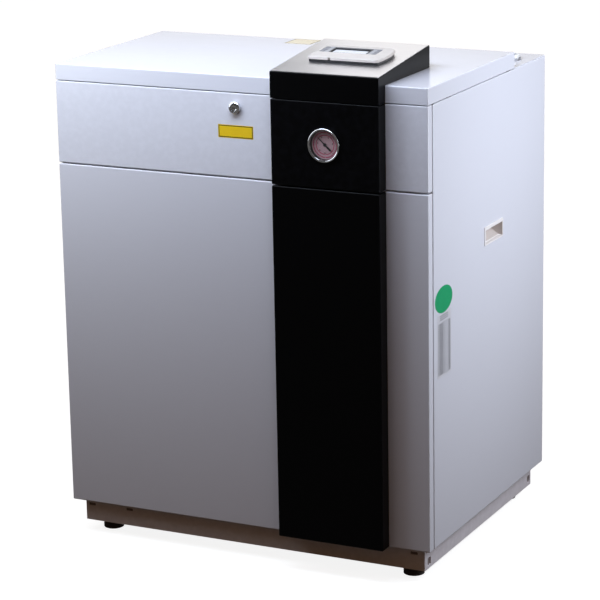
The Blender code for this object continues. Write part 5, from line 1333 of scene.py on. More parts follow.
def controller_shell(sizes, middle, keys, gap, bottom, top):
    radius = sizes.shell_round
    steps = [(0.0004, bottom), (0, bottom + 0.0004), (0, top - radius)]
    for turn in (0.3, 0.6, 0.9, 1.2, 1.571):
        steps.append((radius * (1 - math.cos(turn)), top - radius * (1 - math.sin(turn))))
    loops = [moved(shell_outline(inset), 0, 0, z) for inset, z in steps]
    case = lofted(loops, slope_matrix(), cap_first=True)
    shell = solid("controller_case", case, finish("silver plastic"), finish("keypad film"))
    floor = top - sizes.keypad_sink
    half = sizes.keypad_depth / 2
    keypad = rounded_loop(sizes.keypad_half_width, half, 0.0025)
    keypad = moved(keypad, middle.x, sizes.start + sizes.keypad_start + half)
    cutters = [drawn(keypad, "Z", floor, top + OVERCUT)]
    glazing = rounded_loop(sizes.window_half_width + gap, sizes.window_half_depth + gap, 0.0008)
    holes = [moved(glazing, middle.x, middle.y)]
    hole = rounded_loop(sizes.key_half_width + gap, sizes.key_half_depth + gap, 0.0009)
    holes += [moved(hole, x, y) for key, x, y in keys]
    cutters += [drawn(outline, "Z", bottom - OVERCUT, top + OVERCUT) for outline in holes]
    notch_low = (-sizes.notch_at - sizes.notch_width / 2, sizes.start - 0.002, bottom - 0.001)
    notch_high = (-sizes.notch_at + sizes.notch_width / 2, sizes.start + 0.0048, bottom + 0.0050)
    cutters.append(block(notch_low, notch_high))
    bored(shell, *[sloped(cutter) for cutter in cutters])
    to_slope = slope_matrix().inverted()
    for face in shell.data.polygons:
        height = (to_slope @ face.center).z
        face.material_index = int(abs(height - floor) < 1e-4 and face.normal.z > 0.9)
    settle(shell, CABINET, "silver_plastic", "controller_shell")


def display_window(sizes, middle, bottom, top):
    """A dark window with the lit screen sunk in it."""
    half_x, half_y = sizes.window_half_width, sizes.window_half_depth
    inset = sizes.screen_frame
    rows = [(0, bottom), (0, top - 0.0003), (0.0003, top), (inset - 0.0006, top)]
    rows += [(inset, top - 0.0006), (inset + 0.0002, top - sizes.screen_sink)]
    loops = []
    for step, z in rows:
        outline = rounded_loop(half_x - step, half_y - step * 0.92, max(0.0010 - step * 0.1, 0.0004), 3)
        lower = sizes.screen_drop * (step > 0.001)
        loops.append(moved(outline, middle.x, middle.y - lower, z))
    bm = lofted(loops, slope_matrix(), [0, 0, 0, 0, 0, 1], cap_first=True)
    piece("display_pane", bm, ("dark plastic", "display screen"), CABINET, "dark_plastic", "display_window")


def control_key(sizes, key, x, y, bottom, top):
    """A rubber-like key with a dished top."""
    steps = ((0, bottom), (0, top - 0.0004), (0.0001, top - 0.0001), (0.0004, top), (0.0016, top - 0.00012))
    loops = []
    for inset, z in steps:
        outline = rounded_loop(sizes.key_half_width - inset, sizes.key_half_depth - inset, 0.0009, 3)
        loops.append(moved(outline, x, y, z))
    bm = lofted(loops, slope_matrix(), cap_first=True)
    piece(f"key_cap_{key}", bm, "key plastic", f"key_{key}", "grey_plastic", f"key_{key}")


class HEATPUMP_OT_controller(bpy.types.Operator):
    """Makes the controller on the slope: dark base, silver shell, keypad, window with its screen, and keys"""

    bl_idname = "heat_pump.controller"
    bl_label = "Controller"

    def execute(self, context):
        sizes = settings("controller")
        console = settings("console")
        gap = console.gap
        base_bottom = 2 * gap + console.plate_thickness
        base_top = base_bottom + sizes.base_height
        shell_bottom = base_top + gap
        shell_top = shell_bottom + sizes.shell_height
        middle = Vector((sizes.shift - 0.0065, sizes.start + sizes.window_middle))
        keys = []
        for number, key in enumerate(("menu", "program", "escape", "up", "enter", "down")):
            x = middle.x + (sizes.key_column if number > 2 else -sizes.key_column)
            keys.append((key, x, middle.y + (1 - number % 3) * sizes.key_pitch))
        controller_base(sizes, base_bottom, base_top)
        controller_shell(sizes, middle, keys, gap, shell_bottom, shell_top)
        display_window(sizes, middle, base_top + gap, shell_top - sizes.window_sink)
        top = shell_top - sizes.keypad_sink + sizes.key_proud
        for key, x, y in keys:
            control_key(sizes, key, x, y, base_top + gap + sizes.key_travel, top)
        return {"FINISHED"}


# Gauge in the column

def gauge_case(sizes, centre, rim, dial):
    bore = sizes.case_radius - sizes.case_wall
    floor = dial + sizes.dial_thickness + 0.0003
    outer = sizes.ring_radius
    roll = 0.0019
    edge = arc(roll, (outer - roll, rim + roll), 0, -math.pi / 2, 7)
    lip = [(outer - 0.0026, rim + 0.0002), (outer - 0.0034, rim + 0.0007), (bore + 0.0008, rim + 0.0017)]
    lip += [(bore + 0.0002, rim + 0.0024), (bore, rim + 0.0030)]
    back = [(0, floor + 0.0002), (bore, floor + 0.0002)]
    outside = [(outer - 0.0004, -0.0003), (sizes.case_radius, -0.0003), (sizes.case_radius, floor + 0.0015)]
    stem = [(0.007, floor + 0.0015), (0.007, 0.0212), (0.0062, 0.022), (0, 0.022)]
    profile = back + lip[::-1] + edge[::-1] + [(outer, rim + roll + 0.0006)] + outside + stem
    case = solid("gauge_bezel", turned(profile, 96, centre, "Y"), finish("chrome"), finish("dark plastic"))
    for face in case.data.polygons:
        distance = math.hypot(face.center.x - centre.x, face.center.z - centre.z)
        behind = face.center.y - centre.y
        face.material_index = int(distance < bore + 0.0003 and rim + 0.0016 < behind < floor + 0.001)
    settle(case, DOOR, "chrome", "gauge_case")


def gauge_dial(sizes, centre, dial):
    """The printed face: two red rings, ticks, long ticks at the numbers, and the numbers."""
    bore = sizes.case_radius - sizes.case_wall - 0.0003
    back = dial + sizes.dial_thickness
    ring = [(0.0015, dial), (bore - 0.0003, dial), (bore, dial + 0.0003), (bore, back), (0.0015, back)]
    piece("gauge_face", turned(ring, 96, centre, "Y"), "dial face", DOOR, "dial_face", "gauge_dial")
    lift = dial - 0.00006
    bands = [printed_band(sizes, centre, lift, *band) for band in ((0.0019, 0.0016), (-0.0038, 0.0015))]
    piece("gauge_red_scale", merged(*bands), "red ink", DOOR, "dial_face")
    for name, count, long, wide in (("ticks", sizes.ticks, 1, 1), ("long_ticks", sizes.numbers, 1.7, 2)):
        repeated(f"gauge_{name}", "Dial ticks", "black ink", DOOR, "dial_face",
                 count=count, centre=centre + Vector((0, lift, 0)), radius=sizes.scale_radius,
                 start_angle=sizes.scale_start, sweep=sizes.scale_sweep,
                 tick_size=(sizes.tick_length * long, 0.0001, sizes.tick_width * wide))
    for number in range(sizes.numbers):
        turn = sizes.scale_start - sizes.scale_sweep * number / (sizes.numbers - 1)
        way = Vector((math.cos(turn), 0, math.sin(turn)))
        dial_number(sizes, str(number * 2), centre + way * (sizes.scale_radius - 0.0066), lift)
    dial_number(sizes, "bar", centre + Vector((0, 0, -0.0155)), lift, 0.8)


def printed_band(sizes, centre, lift, reach, width):
    """A thin printed arc inside or outside the ticks, 16 percent longer than the scale at both ends."""
    over = sizes.scale_sweep * 0.16
    start, stop = sizes.scale_start + over, sizes.scale_start - sizes.scale_sweep - over
    middle = (centre.x, centre.z)
    outer = arc(sizes.scale_radius + reach + width / 2, middle, start, stop, 96)
    inner = arc(sizes.scale_radius + reach - width / 2, middle, stop, start, 96)
    return drawn(outer + inner, "Y", centre.y + lift, centre.y + lift + 0.00008)


def dial_number(sizes, text, place, lift, factor=1.0):
    curve = bpy.data.curves.new(f"dial_{text}", "FONT")
    curve.body = text
    curve.size = sizes.number_size * factor
    curve.align_x = "CENTER"
    curve.align_y = "CENTER"
    curve.extrude = 0.00004
    curve.offset = 0.00012
    curve.resolution_u = 3
    words = linked(f"dial_{text}", curve)
    bpy.context.view_layer.update()
    graph = bpy.context.evaluated_depsgraph_get()
    mesh = bpy.data.meshes.new_from_object(words.evaluated_get(graph))
    bpy.data.objects.remove(words)
    bpy.data.curves.remove(curve)
    upright = Matrix.Rotation(math.pi / 2, 4, "X")
    mesh.transform(Matrix.Translation((place.x, place.y + lift, place.z)) @ upright)
    mesh.materials.clear()
    mesh.materials.append(finish("black ink"))
    settle(linked(f"dial_number_{text}", mesh), DOOR, "dial_face")


def gauge_needle(sizes, centre, dial):
    back, thickness = dial - 0.001, 0.0008
    along = Vector((math.cos(sizes.needle_angle), math.sin(sizes.needle_angle)))
    across = Vector((-along.y, along.x)) * sizes.needle_width / 2
    middle = Vector((centre.x, centre.z))
    shape = [(sizes.needle_length, 0.45), (0, 1.2), (-0.005, 1.3), (-0.0075, 2.1)]
    shape += [(-sizes.needle_tail + 0.002, 2.1), (-sizes.needle_tail, 1.5)]
    edge = [middle + along * reach + across * wide for reach, wide in shape]
    edge += [middle + along * reach - across * wide for reach, wide in reversed(shape)]
    blade = drawn([tuple(p) for p in edge], "Y", centre.y + back - thickness, centre.y + back)
    hub = [(0, back - 0.0016), (0.0026, back - 0.0016), (0.0033, back - 0.0011), (0.0033, back + 0.0001)]
    hub += [(0.0012, back + 0.0001), (0.0012, dial + 0.004), (0, dial + 0.004)]
    bm = merged(blade, turned(hub, 32, centre, "Y"))
    piece("gauge_pointer", bm, "needle black", "needle", "dark_plastic", "gauge_needle", softness=0.00012)


def gauge_glass(sizes, centre, rim):
    fitted = sizes.case_radius - sizes.case_wall - 0.0003
    pane = rod(fitted, rim + 0.002, rim + 0.002 + 0.0015, 96, centre, "Y", 0.0002)
    piece("gauge_pane", pane, "clear glass", DOOR, "clear_glass", "gauge_glass")


class HEATPUMP_OT_gauge(bpy.types.Operator):
    """Makes the pressure gauge: case with its rolled rim, dial with its scale, needle and glass"""

    bl_idname = "heat_pump.gauge"
    bl_label = "Gauge"

    def execute(self, context):
        sizes = settings("gauge")
        centre = middle_of("gauge_case")
        centre.y = COVER_LOW.y
        rim = -sizes.ring_proud
        dial = rim + sizes.dial_sink
        gauge_case(sizes, centre, rim, dial)
        gauge_dial(sizes, centre, dial)
        gauge_needle(sizes, centre, dial)
        gauge_glass(sizes, centre, rim)
        return {"FINISHED"}


def lock_plug(centre):
    low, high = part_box("lock_plug_cam")
    radius, face, back = high.x - centre.x, low.y - centre.y, high.y - centre.y
    profile = [(0, face + 0.0005), (radius * 0.55, face + 0.0004), (radius - 0.0008, face + 0.0003)]
    profile += [(radius - 0.0002, face), (radius, face + 0.0004), (radius, back), (0, back)]
    plug = solid("lock_plug", turned(profile, 48, centre, "Y"), finish("chrome"))
    slot = moved(rounded_loop(0.0042, 0.0009, 0.0008, 3), centre.x, centre.z)
    bored(plug, drawn(slot, "Y", low.y - 0.002, low.y + 0.006))
    settle(plug, "lock_plug", "chrome", "lock_plug_cam")
    half = (high.z - low.z) / 2 - 0.0017
    outline = arc(half, (low.x + half, centre.z), math.pi / 2, 3 * math.pi / 2, 10)
    outline += [(centre.x + half, centre.z - half), (centre.x + half, centre.z + half)]
    cam = drawn(outline, "Y", high.y - 0.002, high.y)
    piece("lock_cam", cam, "zinc plate", "lock_plug", "zinc", softness=0.0003)
    # A dark block sunk in the keyway is painted shade for the depth of the slot.
    shade = drawn(slot, "Y", low.y + 0.0035, low.y + 0.0045)
    piece("lock_keyway_painted_shade", shade, "dark plastic", "lock_plug", "dark_plastic")


class HEATPUMP_OT_lock(bpy.types.Operator):
    """Makes the door's lock: a chromed barrel, its plug with the keyway and the cam behind the sheet"""

    bl_idname = "heat_pump.lock"
    bl_label = "Lock"

    def execute(self, context):
        low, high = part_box("lock_body")
        centre = Vector(((low.x + high.x) / 2, DOOR_LOW.y, (low.z + high.z) / 2))
        proud = DOOR_LOW.y - low.y
        back = high.y - centre.y
        head, bore, dome = (high.x - low.x) / 2 + 0.0009, 0.0065, 0.0058
        shoulder = arc(dome, (head - dome * 0.80, -proud + dome), -math.pi / 2, -math.pi * 0.205, 7)
        profile = [(bore, -proud + 0.0014), (bore + 0.0007, -proud + 0.0004)]
        profile += shoulder + [(head, shoulder[-1][1] + 0.0005), (head, -0.0003), (0.009, -0.0003)]
        profile += [(0.009, back - 0.0006), (0.0084, back), (bore, back)]
        barrel = solid("lock_barrel", turned(profile, 64, centre, "Y"), finish("chrome"))
        notch_low = (centre.x - 0.0012, low.y - 0.001, centre.z + bore + 0.0005)
        bored(barrel, block(notch_low, (centre.x + 0.0012, low.y + 0.0034, centre.z + head - 0.0012)))
        settle(barrel, DOOR, "chrome", "lock_body")
        lock_plug(centre)
        return {"FINISHED"}


# Labels

def film_label(name, sizes, place, outline, finish_name):
    loops = []
    for scale, z in ((1, 0), (1, sizes.film * 0.7), (0.997, sizes.film)):
        loops.append([(u * scale, v * scale, z) for u, v in outline])
    piece(name, lofted(loops, place, cap_first=True), finish_name, CABINET, "white_powder_coat")


def bordered_label(name, body, sizes, place, half_u, half_v, film):
    """A film with a dark border and nothing printed inside it."""
    margin, top = 0.0009, sizes.film
    steps = ((0, 0), (0, top * 0.8), (0.0001, top), (margin, top), (margin + sizes.border, top))
    loops = []
    for inset, z in steps:
        loops.append(moved(rounded_loop(half_u - inset, half_v - inset, sizes.corner, 3), 0, 0, z))
    bm = lofted(loops, place, [0, 0, 0, 1, 0], cap_first=True)
    piece(name, bm, (film, "olive ink"), body, "white_powder_coat")


def ruled_table(sizes, face):
    """The data plate's empty table: rows, uprights, two columns of bars and a heading of three."""
    pitch = sizes.line_pitch
    rows = int(0.106 / pitch)
    tall = (rows - 1) * pitch
    lowest = 0.4135
    first = lowest + pitch / 2
    for name, count, y, z, step, size in (
        ("rows", rows, -0.2115, lowest, (0, 0, pitch), (0.0001, 0.058, 0.0008)),
        ("columns", 3, -0.2405, lowest + tall / 2, (0, 0.029, 0), (0.0001, 0.0007, tall)),
        ("cells", rows - 1, -0.2260, first, (0, 0, pitch), (0.00008, 0.019, 0.0016)),
        ("marks", rows - 1, -0.1880, first, (0, 0, pitch), (0.00008, 0.0065, 0.0018)),
        ("heading", 3, -0.2130, 0.5215, (0, 0, 0.0038), (0.00008, 0.040, 0.0013)),
    ):
        repeated(f"data_plate_{name}", "Row of bars", "grey ink", CABINET, "white_powder_coat",
                 count=count, start=(face + sizes.film, y, z), step=step, bar_size=size)


class HEATPUMP_OT_labels(bpy.types.Operator):
    """Makes the plain labels: two yellow ones, the green oval and the ruled data plate"""

    bl_idname = "heat_pump.labels"
    bl_label = "Labels"

    def execute(self, context):
        sizes = settings("labels")
        front = Matrix(((1, 0, 0, 0), (0, 0, -1, 0), (0, 1, 0, 0), (0, 0, 0, 1)))
        place = Matrix.Translation((-0.0008, DOOR_LOW.y, 0.8682)) @ front
        bordered_label("door_label", DOOR, sizes, place, 0.0378, 0.0128, "yellow film")
        place = Matrix.Translation((-0.0525, 0.120, LID_HIGH.z))
        bordered_label("lid_label", CABINET, sizes, place, 0.0295, 0.029, "pale yellow film")
        side = Matrix(((0, 0, 1, 0), (1, 0, 0, 0), (0, 1, 0, 0), (0, 0, 0, 1)))
        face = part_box("right_side_panel")[1].x
        oval = [(sizes.oval_width / 2 * c, sizes.oval_height / 2 * s) for c, s in spokes(64)]
        plate = rounded_loop(0.0335, 0.0625, sizes.corner)
        place = Matrix.Translation((face, -0.2135, 0.560)) @ side
        film_label("oval_label", sizes, place, oval, "green film")
        place = Matrix.Translation((face, -0.2115, 0.4705)) @ side
        film_label("data_plate", sizes, place, plate, "pale film")
        ruled_table(sizes, face)
        return {"FINISHED"}


# Frame and control compartment

class HEATPUMP_OT_posts(bpy.types.Operator):
    """Makes the two zinc plated front posts, with the door's hinge pins"""

    bl_idname = "heat_pump.posts"
    bl_label = "Front Posts"

    def execute(self, context):
        for side in ("left", "right"):
            dress(f"front_post_{side}", "zinc plate", "zinc", 0.0003)
        return {"FINISHED"}


def device_screws():
    """Clamp screws above and below the breaker's and the contactor's noses."""
    low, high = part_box("circuit_breaker")
    shelf = low.y + 0.012
    points = []
    for node, ways in (("circuit_breaker", 2), ("contactor", 3)):
        bottom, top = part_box(node)[0].z + 0.010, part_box(node)[1].z - 0.010
        for x in way_middles(node, ways):
            points += [(x, shelf, bottom), (x, shelf, top)]
    screws("clamp_screws", points, 0.0032, 0.0009)
    rating_low = (low.x + 0.004, low.y - 0.0002, low.z + 0.024)
    rating = block(rating_low, (high.x - 0.004, low.y + 0.0003, low.z + 0.029))
    piece("breaker_label", rating, "pale film", CABINET, "ivory_plastic", softness=0.0001)
    middle, front = middle_of("contactor"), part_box("contactor")[0].y
    armature = pad(middle.x, middle.z, 0.008, 0.006, front - 0.0008, front + 0.001, 0.0005)
    piece("contactor_armature", armature, "grey plastic", CABINET, "grey_plastic")


def terminal_marks():
    """A screw above and below the middle of each terminal, and a white marker between them."""
    low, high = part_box("terminal_block")
    middle = (low.z + high.z) / 2
    points, markers = [], []
    for x in way_middles("terminal_block", settings("works").terminal_ways):
        points += [(x, low.y, low.z + 0.011), (x, low.y, high.z - 0.011)]
        markers.append(pad(x, middle, 0.003, 0.0035, low.y - 0.0006, low.y + 0.0006, 0.0003, 1))
    screws("terminal_screws", points, 0.0027, 0.0008)
    piece("terminal_markers", merged(*markers), "white ink", CABINET, "grey_plastic")


class HEATPUMP_OT_compartment(bpy.types.Operator):
    """Makes the control box behind the service door, its rail, breaker, contactor and terminals"""

    bl_idname = "heat_pump.compartment"
    bl_label = "Control Compartment"

    def execute(self, context):
        softness = settings("works").softness
        dress("control_box", "zinc plate", "zinc", 0.0003)
        dress("din_rail", "zinc plate", "zinc", 0.0003)
        dress("circuit_breaker", "ivory plastic", "ivory_plastic", softness, 2)
        dress("breaker_toggle", "dark plastic", "dark_plastic", 0.0004, 2, "toggle")
        dress("contactor", "dark plastic", "dark_plastic", softness, 2)
        dress("terminal_block", "grey plastic", "grey_plastic", 0.0004, 2)
        device_screws()
        terminal_marks()
        points = [(x, BOX_HIGH.y - 0.0012, z) for x in (BOX_LOW.x + 0.012, 0.0, BOX_HIGH.x - 0.012)
                  for z in (BOX_LOW.z + 0.014, BOX_HIGH.z - 0.014)]
        screws("control_box_screws", points, 0.0035, 0.0012)
        return {"FINISHED"}


class HEATPUMP_OT_board(bpy.types.Operator):
    """Makes the controller's circuit board with its relays, connectors, chips and capacitors"""

    bl_idname = "heat_pump.board"
    bl_label = "Circuit Board"

    def execute(self, context):
        low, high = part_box("control_board")
        back = BOX_HIGH.y - 0.0015
        rear = back - 0.010
        face = rear - 0.0016
        inside = face + 0.0003
        names = (
            "circuit board", "relay blue", "connector green", "dark plastic", "stainless steel", "zinc plate",
        )
        lacquer, relay, connector, dark, bright, zinc = range(len(names))
        parts = [(slab((low.x, face, low.z), (high.x, rear, high.z), 0.0003, 1), lacquer)]
        for number in range(5):
            x = low.x + 0.016 + number * 0.026
            case = slab((x, low.y, high.z - 0.032), (x + 0.019, inside, high.z - 0.016), 0.0006)
            parts.append((case, relay))
        strip = low.z + 0.004
        for way in range(17):
            x = low.x + 0.016 + way * 0.010
            socket = slab((x, face - 0.011, strip), (x + 0.0096, inside, strip + 0.010), 0.0005)
            screw = rod(0.0024, -0.0002, 0.0006, 12, (x + 0.0048, face - 0.0115, strip + 0.0052), "Y")
            parts += [(socket, connector), (screw, zinc)]
        chips = [(0.060, 0.052, 0.011, 0.011, 0.0022), (0.095, 0.050, 0.006, 0.004, 0.0018)]
        chips += [(0.095, 0.064, 0.006, 0.004, 0.0018), (0.175, 0.062, 0.007, 0.010, 0.0026)]
        for x, z, half_x, half_z, tall in chips:
            parts.append((pad(low.x + x, low.z + z, half_x, half_z, face - tall, inside, 0.0003, 1), dark))
        capacitors = [(0.120, 0.050, 0.006, 0.013), (0.136, 0.050, 0.006, 0.013)]
        capacitors.append((0.150, 0.068, 0.004, 0.009))
        for x, z, radius, tall in capacitors:
            spot = (low.x + x, face, low.z + z)
            parts.append((rod(radius, -tall, 0.0003, 24, spot, "Y", 0.0006), dark))
            parts.append((rod(radius * 0.82, -tall - 0.0001, -tall + 0.0003, 24, spot, "Y"), bright))
        for x in (low.x + 0.008, high.x - 0.008):
            for z in (low.z + 0.008, high.z - 0.008):
                parts.append((rod(0.003, -0.002, back - face, 16, (x, face, z), "Y", 0.0004), zinc))
        piece("controller_board", merged(*parts), names, CABINET, "circuit_board", "control_board")
        return {"FINISHED"}


def insulated_wire(name, route, bend, radius, word):
    piece(name, piped(bent_path(route, bend), radius, 10), f"wire {word}", CABINET, "dark_plastic")


def power_wires(radius):
    """Thicker wires from the breaker to the contactor and on to the terminals, under the devices."""
    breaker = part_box("circuit_breaker")[0]
    contactor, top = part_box("contactor")
    strip_low, strip_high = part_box("terminal_block")
    ins = (contactor.x + 0.0075, contactor.x + 0.0225, contactor.x + 0.0375)
    runs = []
    for number, way in enumerate((0.009, 0.027)):
        heights = (breaker.z + 0.002, breaker.z - 0.008 - number * 0.004, contactor.z + 0.002)
        runs.append((f"power_wire_{number}", breaker.x + way, ins[number], *heights))
    for number, way in enumerate((0.005, 0.015, 0.025)):
        heights = (top.z - 0.002, top.z + 0.014 - number * 0.004, strip_high.z - 0.002)
        runs.append((f"motor_wire_{number}", ins[number], strip_low.x + way, *heights))
    y = breaker.y + 0.022
    for (name, x0, x1, start, level, stop), word in zip(runs, ("brown", "black", "brown", "black", "red")):
        route = [(x0, y, start), (x0, y, level), (x1, y, level), (x1, y, stop)]
        insulated_wire(name, route, 0.0036, radius, word)


class HEATPUMP_OT_wiring(bpy.types.Operator):
    """Makes the wires between the rail devices and the board"""

    bl_idname = "heat_pump.wiring"
    bl_label = "Wiring"

    def execute(self, context):
        radius = settings("works").wire_radius
        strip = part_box("terminal_block")[0]
        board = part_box("control_board")[0]
        shelf = BOX_HIGH.y - 0.0305
        middles = way_middles("terminal_block", 10)[::-1]
        for number, word in enumerate(("brown", "blue", "green", "black", "red", "blue", "brown")):
            x, y = middles[number], strip.y + 0.006
            level = BOX_LOW.z + 0.0075 + (number % 3) * radius * 2.1
            depth = shelf + (number // 3) * radius * 2.2
            target = board.x + 0.021 + number * 0.010
            route = [(x, y, strip.z + 0.002), (x, y, strip.z - 0.010), (x, depth, level)]
            route += [(target, depth, level), (target, depth, board.z + 0.0035)]
            insulated_wire(f"board_wire_{number}", route, 0.0058, radius, word)
        power_wires(radius * 1.3)
        return {"FINISHED"}


# Works below

class HEATPUMP_OT_compressor(bpy.types.Operator):
    """Makes the compressor with its terminal box"""

    bl_idname = "heat_pump.compressor"
    bl_label = "Compressor"

    def execute(self, context):
        dress("compressor", "black enamel", "black_enamel", 0.0006)
        middle = middle_of("compressor")
        front = middle.y - 0.105
        cover = pad(middle.x, 0.365, 0.032, 0.035, front, front + 0.032, 0.003, 3)
        piece("compressor_terminal_box", cover, "dark plastic", CABINET, "dark_plastic")
        screws("terminal_box_screw", [(middle.x, front, 0.365)], 0.004, 0.0012)
        return {"FINISHED"}


class HEATPUMP_OT_exchangers(bpy.types.Operator):
    """Makes the condenser and the evaporator as packs of plates, and their bracket"""

    bl_idname = "heat_pump.exchangers"
    bl_label = "Heat Exchangers"

    def execute(self, context):
        count = settings("works").plates
        for node in ("condenser", "evaporator"):
            low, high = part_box(node)
            middle = (low + high) / 2
            front = high.y - 0.100
            pitch = (high.y - front) / count
            bar = (high.x - low.x - 0.0012, pitch * 0.55, high.z - low.z - 0.0012)
            start = (middle.x, front + pitch, middle.z)
            repeated(f"{node}_plates", "Row of bars", "stainless steel", CABINET, "stainless",
                     count=count - 1, start=start, step=(0, pitch, 0), bar_size=bar)
            dress(node, "stainless steel", "stainless", 0.0005)
        dress("exchanger_bracket", "zinc plate", "zinc", 0.0004)
        return {"FINISHED"}


def water_pipe(name):
    """A pipe with a plated socket, the thread inside the socket and the grommet round it."""
    node = f"{name}_pipe"
    pipe = dressed(node, finish("copper"), finish("nickel plate"))
    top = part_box(node)[1].z
    for face in pipe.data.polygons:
        face.material_index = int(face.center.z > top - 0.030)
    settle(pipe, CABINET, "copper", node, softness=0.0004, steps=1)
    port = next(mount for mount in frame["record"]["mounts"] if mount["name"] == f"{name}_port")
    x, y = port["pos_m"][0] - 0.0194, port["pos_m"][1]
    bore, start, pitch = 0.0174, top - 0.0172, settings("works").thread_pitch
    turns, steps = 6, 32
    path = []
    for step in range(turns * steps + 1):
        t = 2 * math.pi * step / steps
        path.append((x + bore * math.cos(t), y + bore * math.sin(t), start + pitch * step / steps))
    piece(f"{name}_thread", piped(path, 0.0006, 6), "nickel plate", CABINET, "brass")
    collar = [(0.0212, top - 0.0088), (0.0245, top - 0.0088), (0.0252, top - 0.0082)]
    collar += [(0.0252, top - 0.0074), (0.0245, top - 0.0068), (0.0212, top - 0.0068)]
    piece(f"{name}_grommet", turned(collar, 48, (x, y, 0)), "grey rubber", CABINET, "rubber")


class HEATPUMP_OT_pipes(bpy.types.Operator):
    """Makes the refrigerant and water pipes, the filter drier, the valve and the threads in the sockets"""

    bl_idname = "heat_pump.pipes"
    bl_label = "Pipes"

    def execute(self, context):
        for node in ("discharge_pipe", "suction_pipe", "liquid_pipe", "pump_outlet_pipe"):
            dress(node, "copper", "copper")
        dress("filter_drier", "black enamel", "black_enamel")
        dress("expansion_valve", "brass", "brass", 0.0003)
        for name in ("heating_flow", "heating_return", "source_inlet", "source_outlet"):
            water_pipe(name)
        return {"FINISHED"}


class HEATPUMP_OT_pump(bpy.types.Operator):
    """Makes the heating pump's housing and its rotor"""

    bl_idname = "heat_pump.pump"
    bl_label = "Pump"

    def execute(self, context):
        dress("pump_housing", "black enamel", "black_enamel", 0.0006)
        dress("pump_rotor", "brass", "brass", body="rotor")
        return {"FINISHED"}


class HEATPUMP_OT_gland(bpy.types.Operator):
    """Makes the mains cable's gland: hexagon, fluted dome and seal"""

    bl_idname = "heat_pump.gland"
    bl_label = "Cable Gland"

    def execute(self, context):
        middle, top = middle_of("cable_gland"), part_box("cable_gland")[1].z
        axis, deck = (middle.x, middle.y, 0), top - 0.011
        nut = [(0.0121, deck), (0.0142, deck), (0.015, deck + 0.0006), (0.015, deck + 0.0054)]
        nut += [(0.0142, deck + 0.006), (0.006, deck + 0.006), (0.006, deck)]
        dome = [(0.0062, deck + 0.0058), (0.0112, deck + 0.0058), (0.0112, top - 0.0025)]
        dome += [(0.0102, top - 0.0008), (0.0090, top), (0.0066, top), (0.0062, top - 0.0004)]
        seal = [(0.005, deck - 0.010), (0.0062, deck - 0.010), (0.0066, top - 0.0006), (0.0052, top - 0.0002)]
        seal += [(0.005, top - 0.001)]
        z = deck - 0.012
        thread = [(0.0052, z)]
        while z < deck - 0.0012:
            thread += [(0.0112, z), (0.0119, z + 0.0004), (0.0119, z + 0.0008), (0.0112, z + 0.0012)]
            z += 0.0016
        thread += [(0.0112, deck + 0.0002), (0.0052, deck + 0.0002)]
        shapes = [turned(nut, 6, axis), turned(dome, 40, axis), turned(thread, 32, axis)]
        gland = merged(*shapes, (turned(seal, 32, axis), 1))
        piece("mains_gland", gland, ("dark plastic", "black rubber"), CABINET, "dark_plastic", "cable_gland")
        return {"FINISHED"}


# Studio

def studio_floor(sizes):
    """A round floor: white to the camera, dull in reflections, dark to the light it would throw back."""
    bm = bmesh.new()
    rings = []
    for radius in (0.6, 2.0, 6.0, 14.0):
        rings.append([bm.verts.new((radius * c, radius * s, 0)) for c, s in spokes(64)])
    bridge(bm, rings)
    bm.faces.new(rings[0])
    bmesh.ops.recalc_face_normals(bm, faces=bm.faces)
    if bm.faces[0].normal.z < 0:
        bmesh.ops.reverse_faces(bm, faces=bm.faces)
    material = bpy.data.materials.new("studio floor")
    material.use_nodes = True
    tree = material.node_tree
    tree.nodes.clear()
    direct, mirrored = ray_masks(tree)
    place = object_place(tree)
    grain = put(tree, "ShaderNodeTexNoise", {"Vector": place, "Scale": 6.0, "Detail": 3.0}).outputs["Fac"]
    pale = blended(tree, grain, (0.34, 0.34, 0.34), (0.36, 0.36, 0.36))
    away = put(tree, "ShaderNodeVectorMath", {0: place}, operation="LENGTH").outputs["Value"]
    white = result_of(tree, "ShaderNodeMapRange", {
        "Value": away, "From Min": 0.9, "From Max": 2.6, "To Min": sizes.floor_white, "To Max": 1.0,
    })
    lit = result_of(tree, "ShaderNodeBsdfDiffuse", {"Color": pale})
    glow = result_of(tree, "ShaderNodeEmission", {"Color": (1, 1, 1, 1), "Strength": white})
    both = result_of(tree, "ShaderNodeAddShader", {0: lit, 1: glow})
    dark = result_of(tree, "ShaderNodeBsdfDiffuse", {"Color": (0.05, 0.045, 0.04, 1)})
    dull = result_of(tree, "ShaderNodeEmission", {
        "Color": (1, 0.96, 0.93, 1), "Strength": sizes.floor_mirrored,
    })
    seen = mixed(tree, direct, mixed(tree, mirrored, dark, dull), both)
    put(tree, "ShaderNodeOutputMaterial", {"Surface": seen})
    make_object("studio_floor", bm, material)


def ray_masks(tree):
    """Masks for rays from the camera or through glass, and for reflections, before any diffuse bounce."""
    path = put(tree, "ShaderNodeLightPath").outputs
    first = reckon(tree, "LESS_THAN", path["Diffuse Depth"], 0.5)
    unmirrored = reckon(tree, "LESS_THAN", path["Glossy Depth"], 0.5)
    glazed = reckon(tree, "MULTIPLY", path["Is Transmission Ray"], unmirrored)
    through = reckon(tree, "MAXIMUM", path["Is Camera Ray"], glazed)
    return [reckon(tree, "MULTIPLY", kind, first) for kind in (through, path["Is Glossy Ray"])]


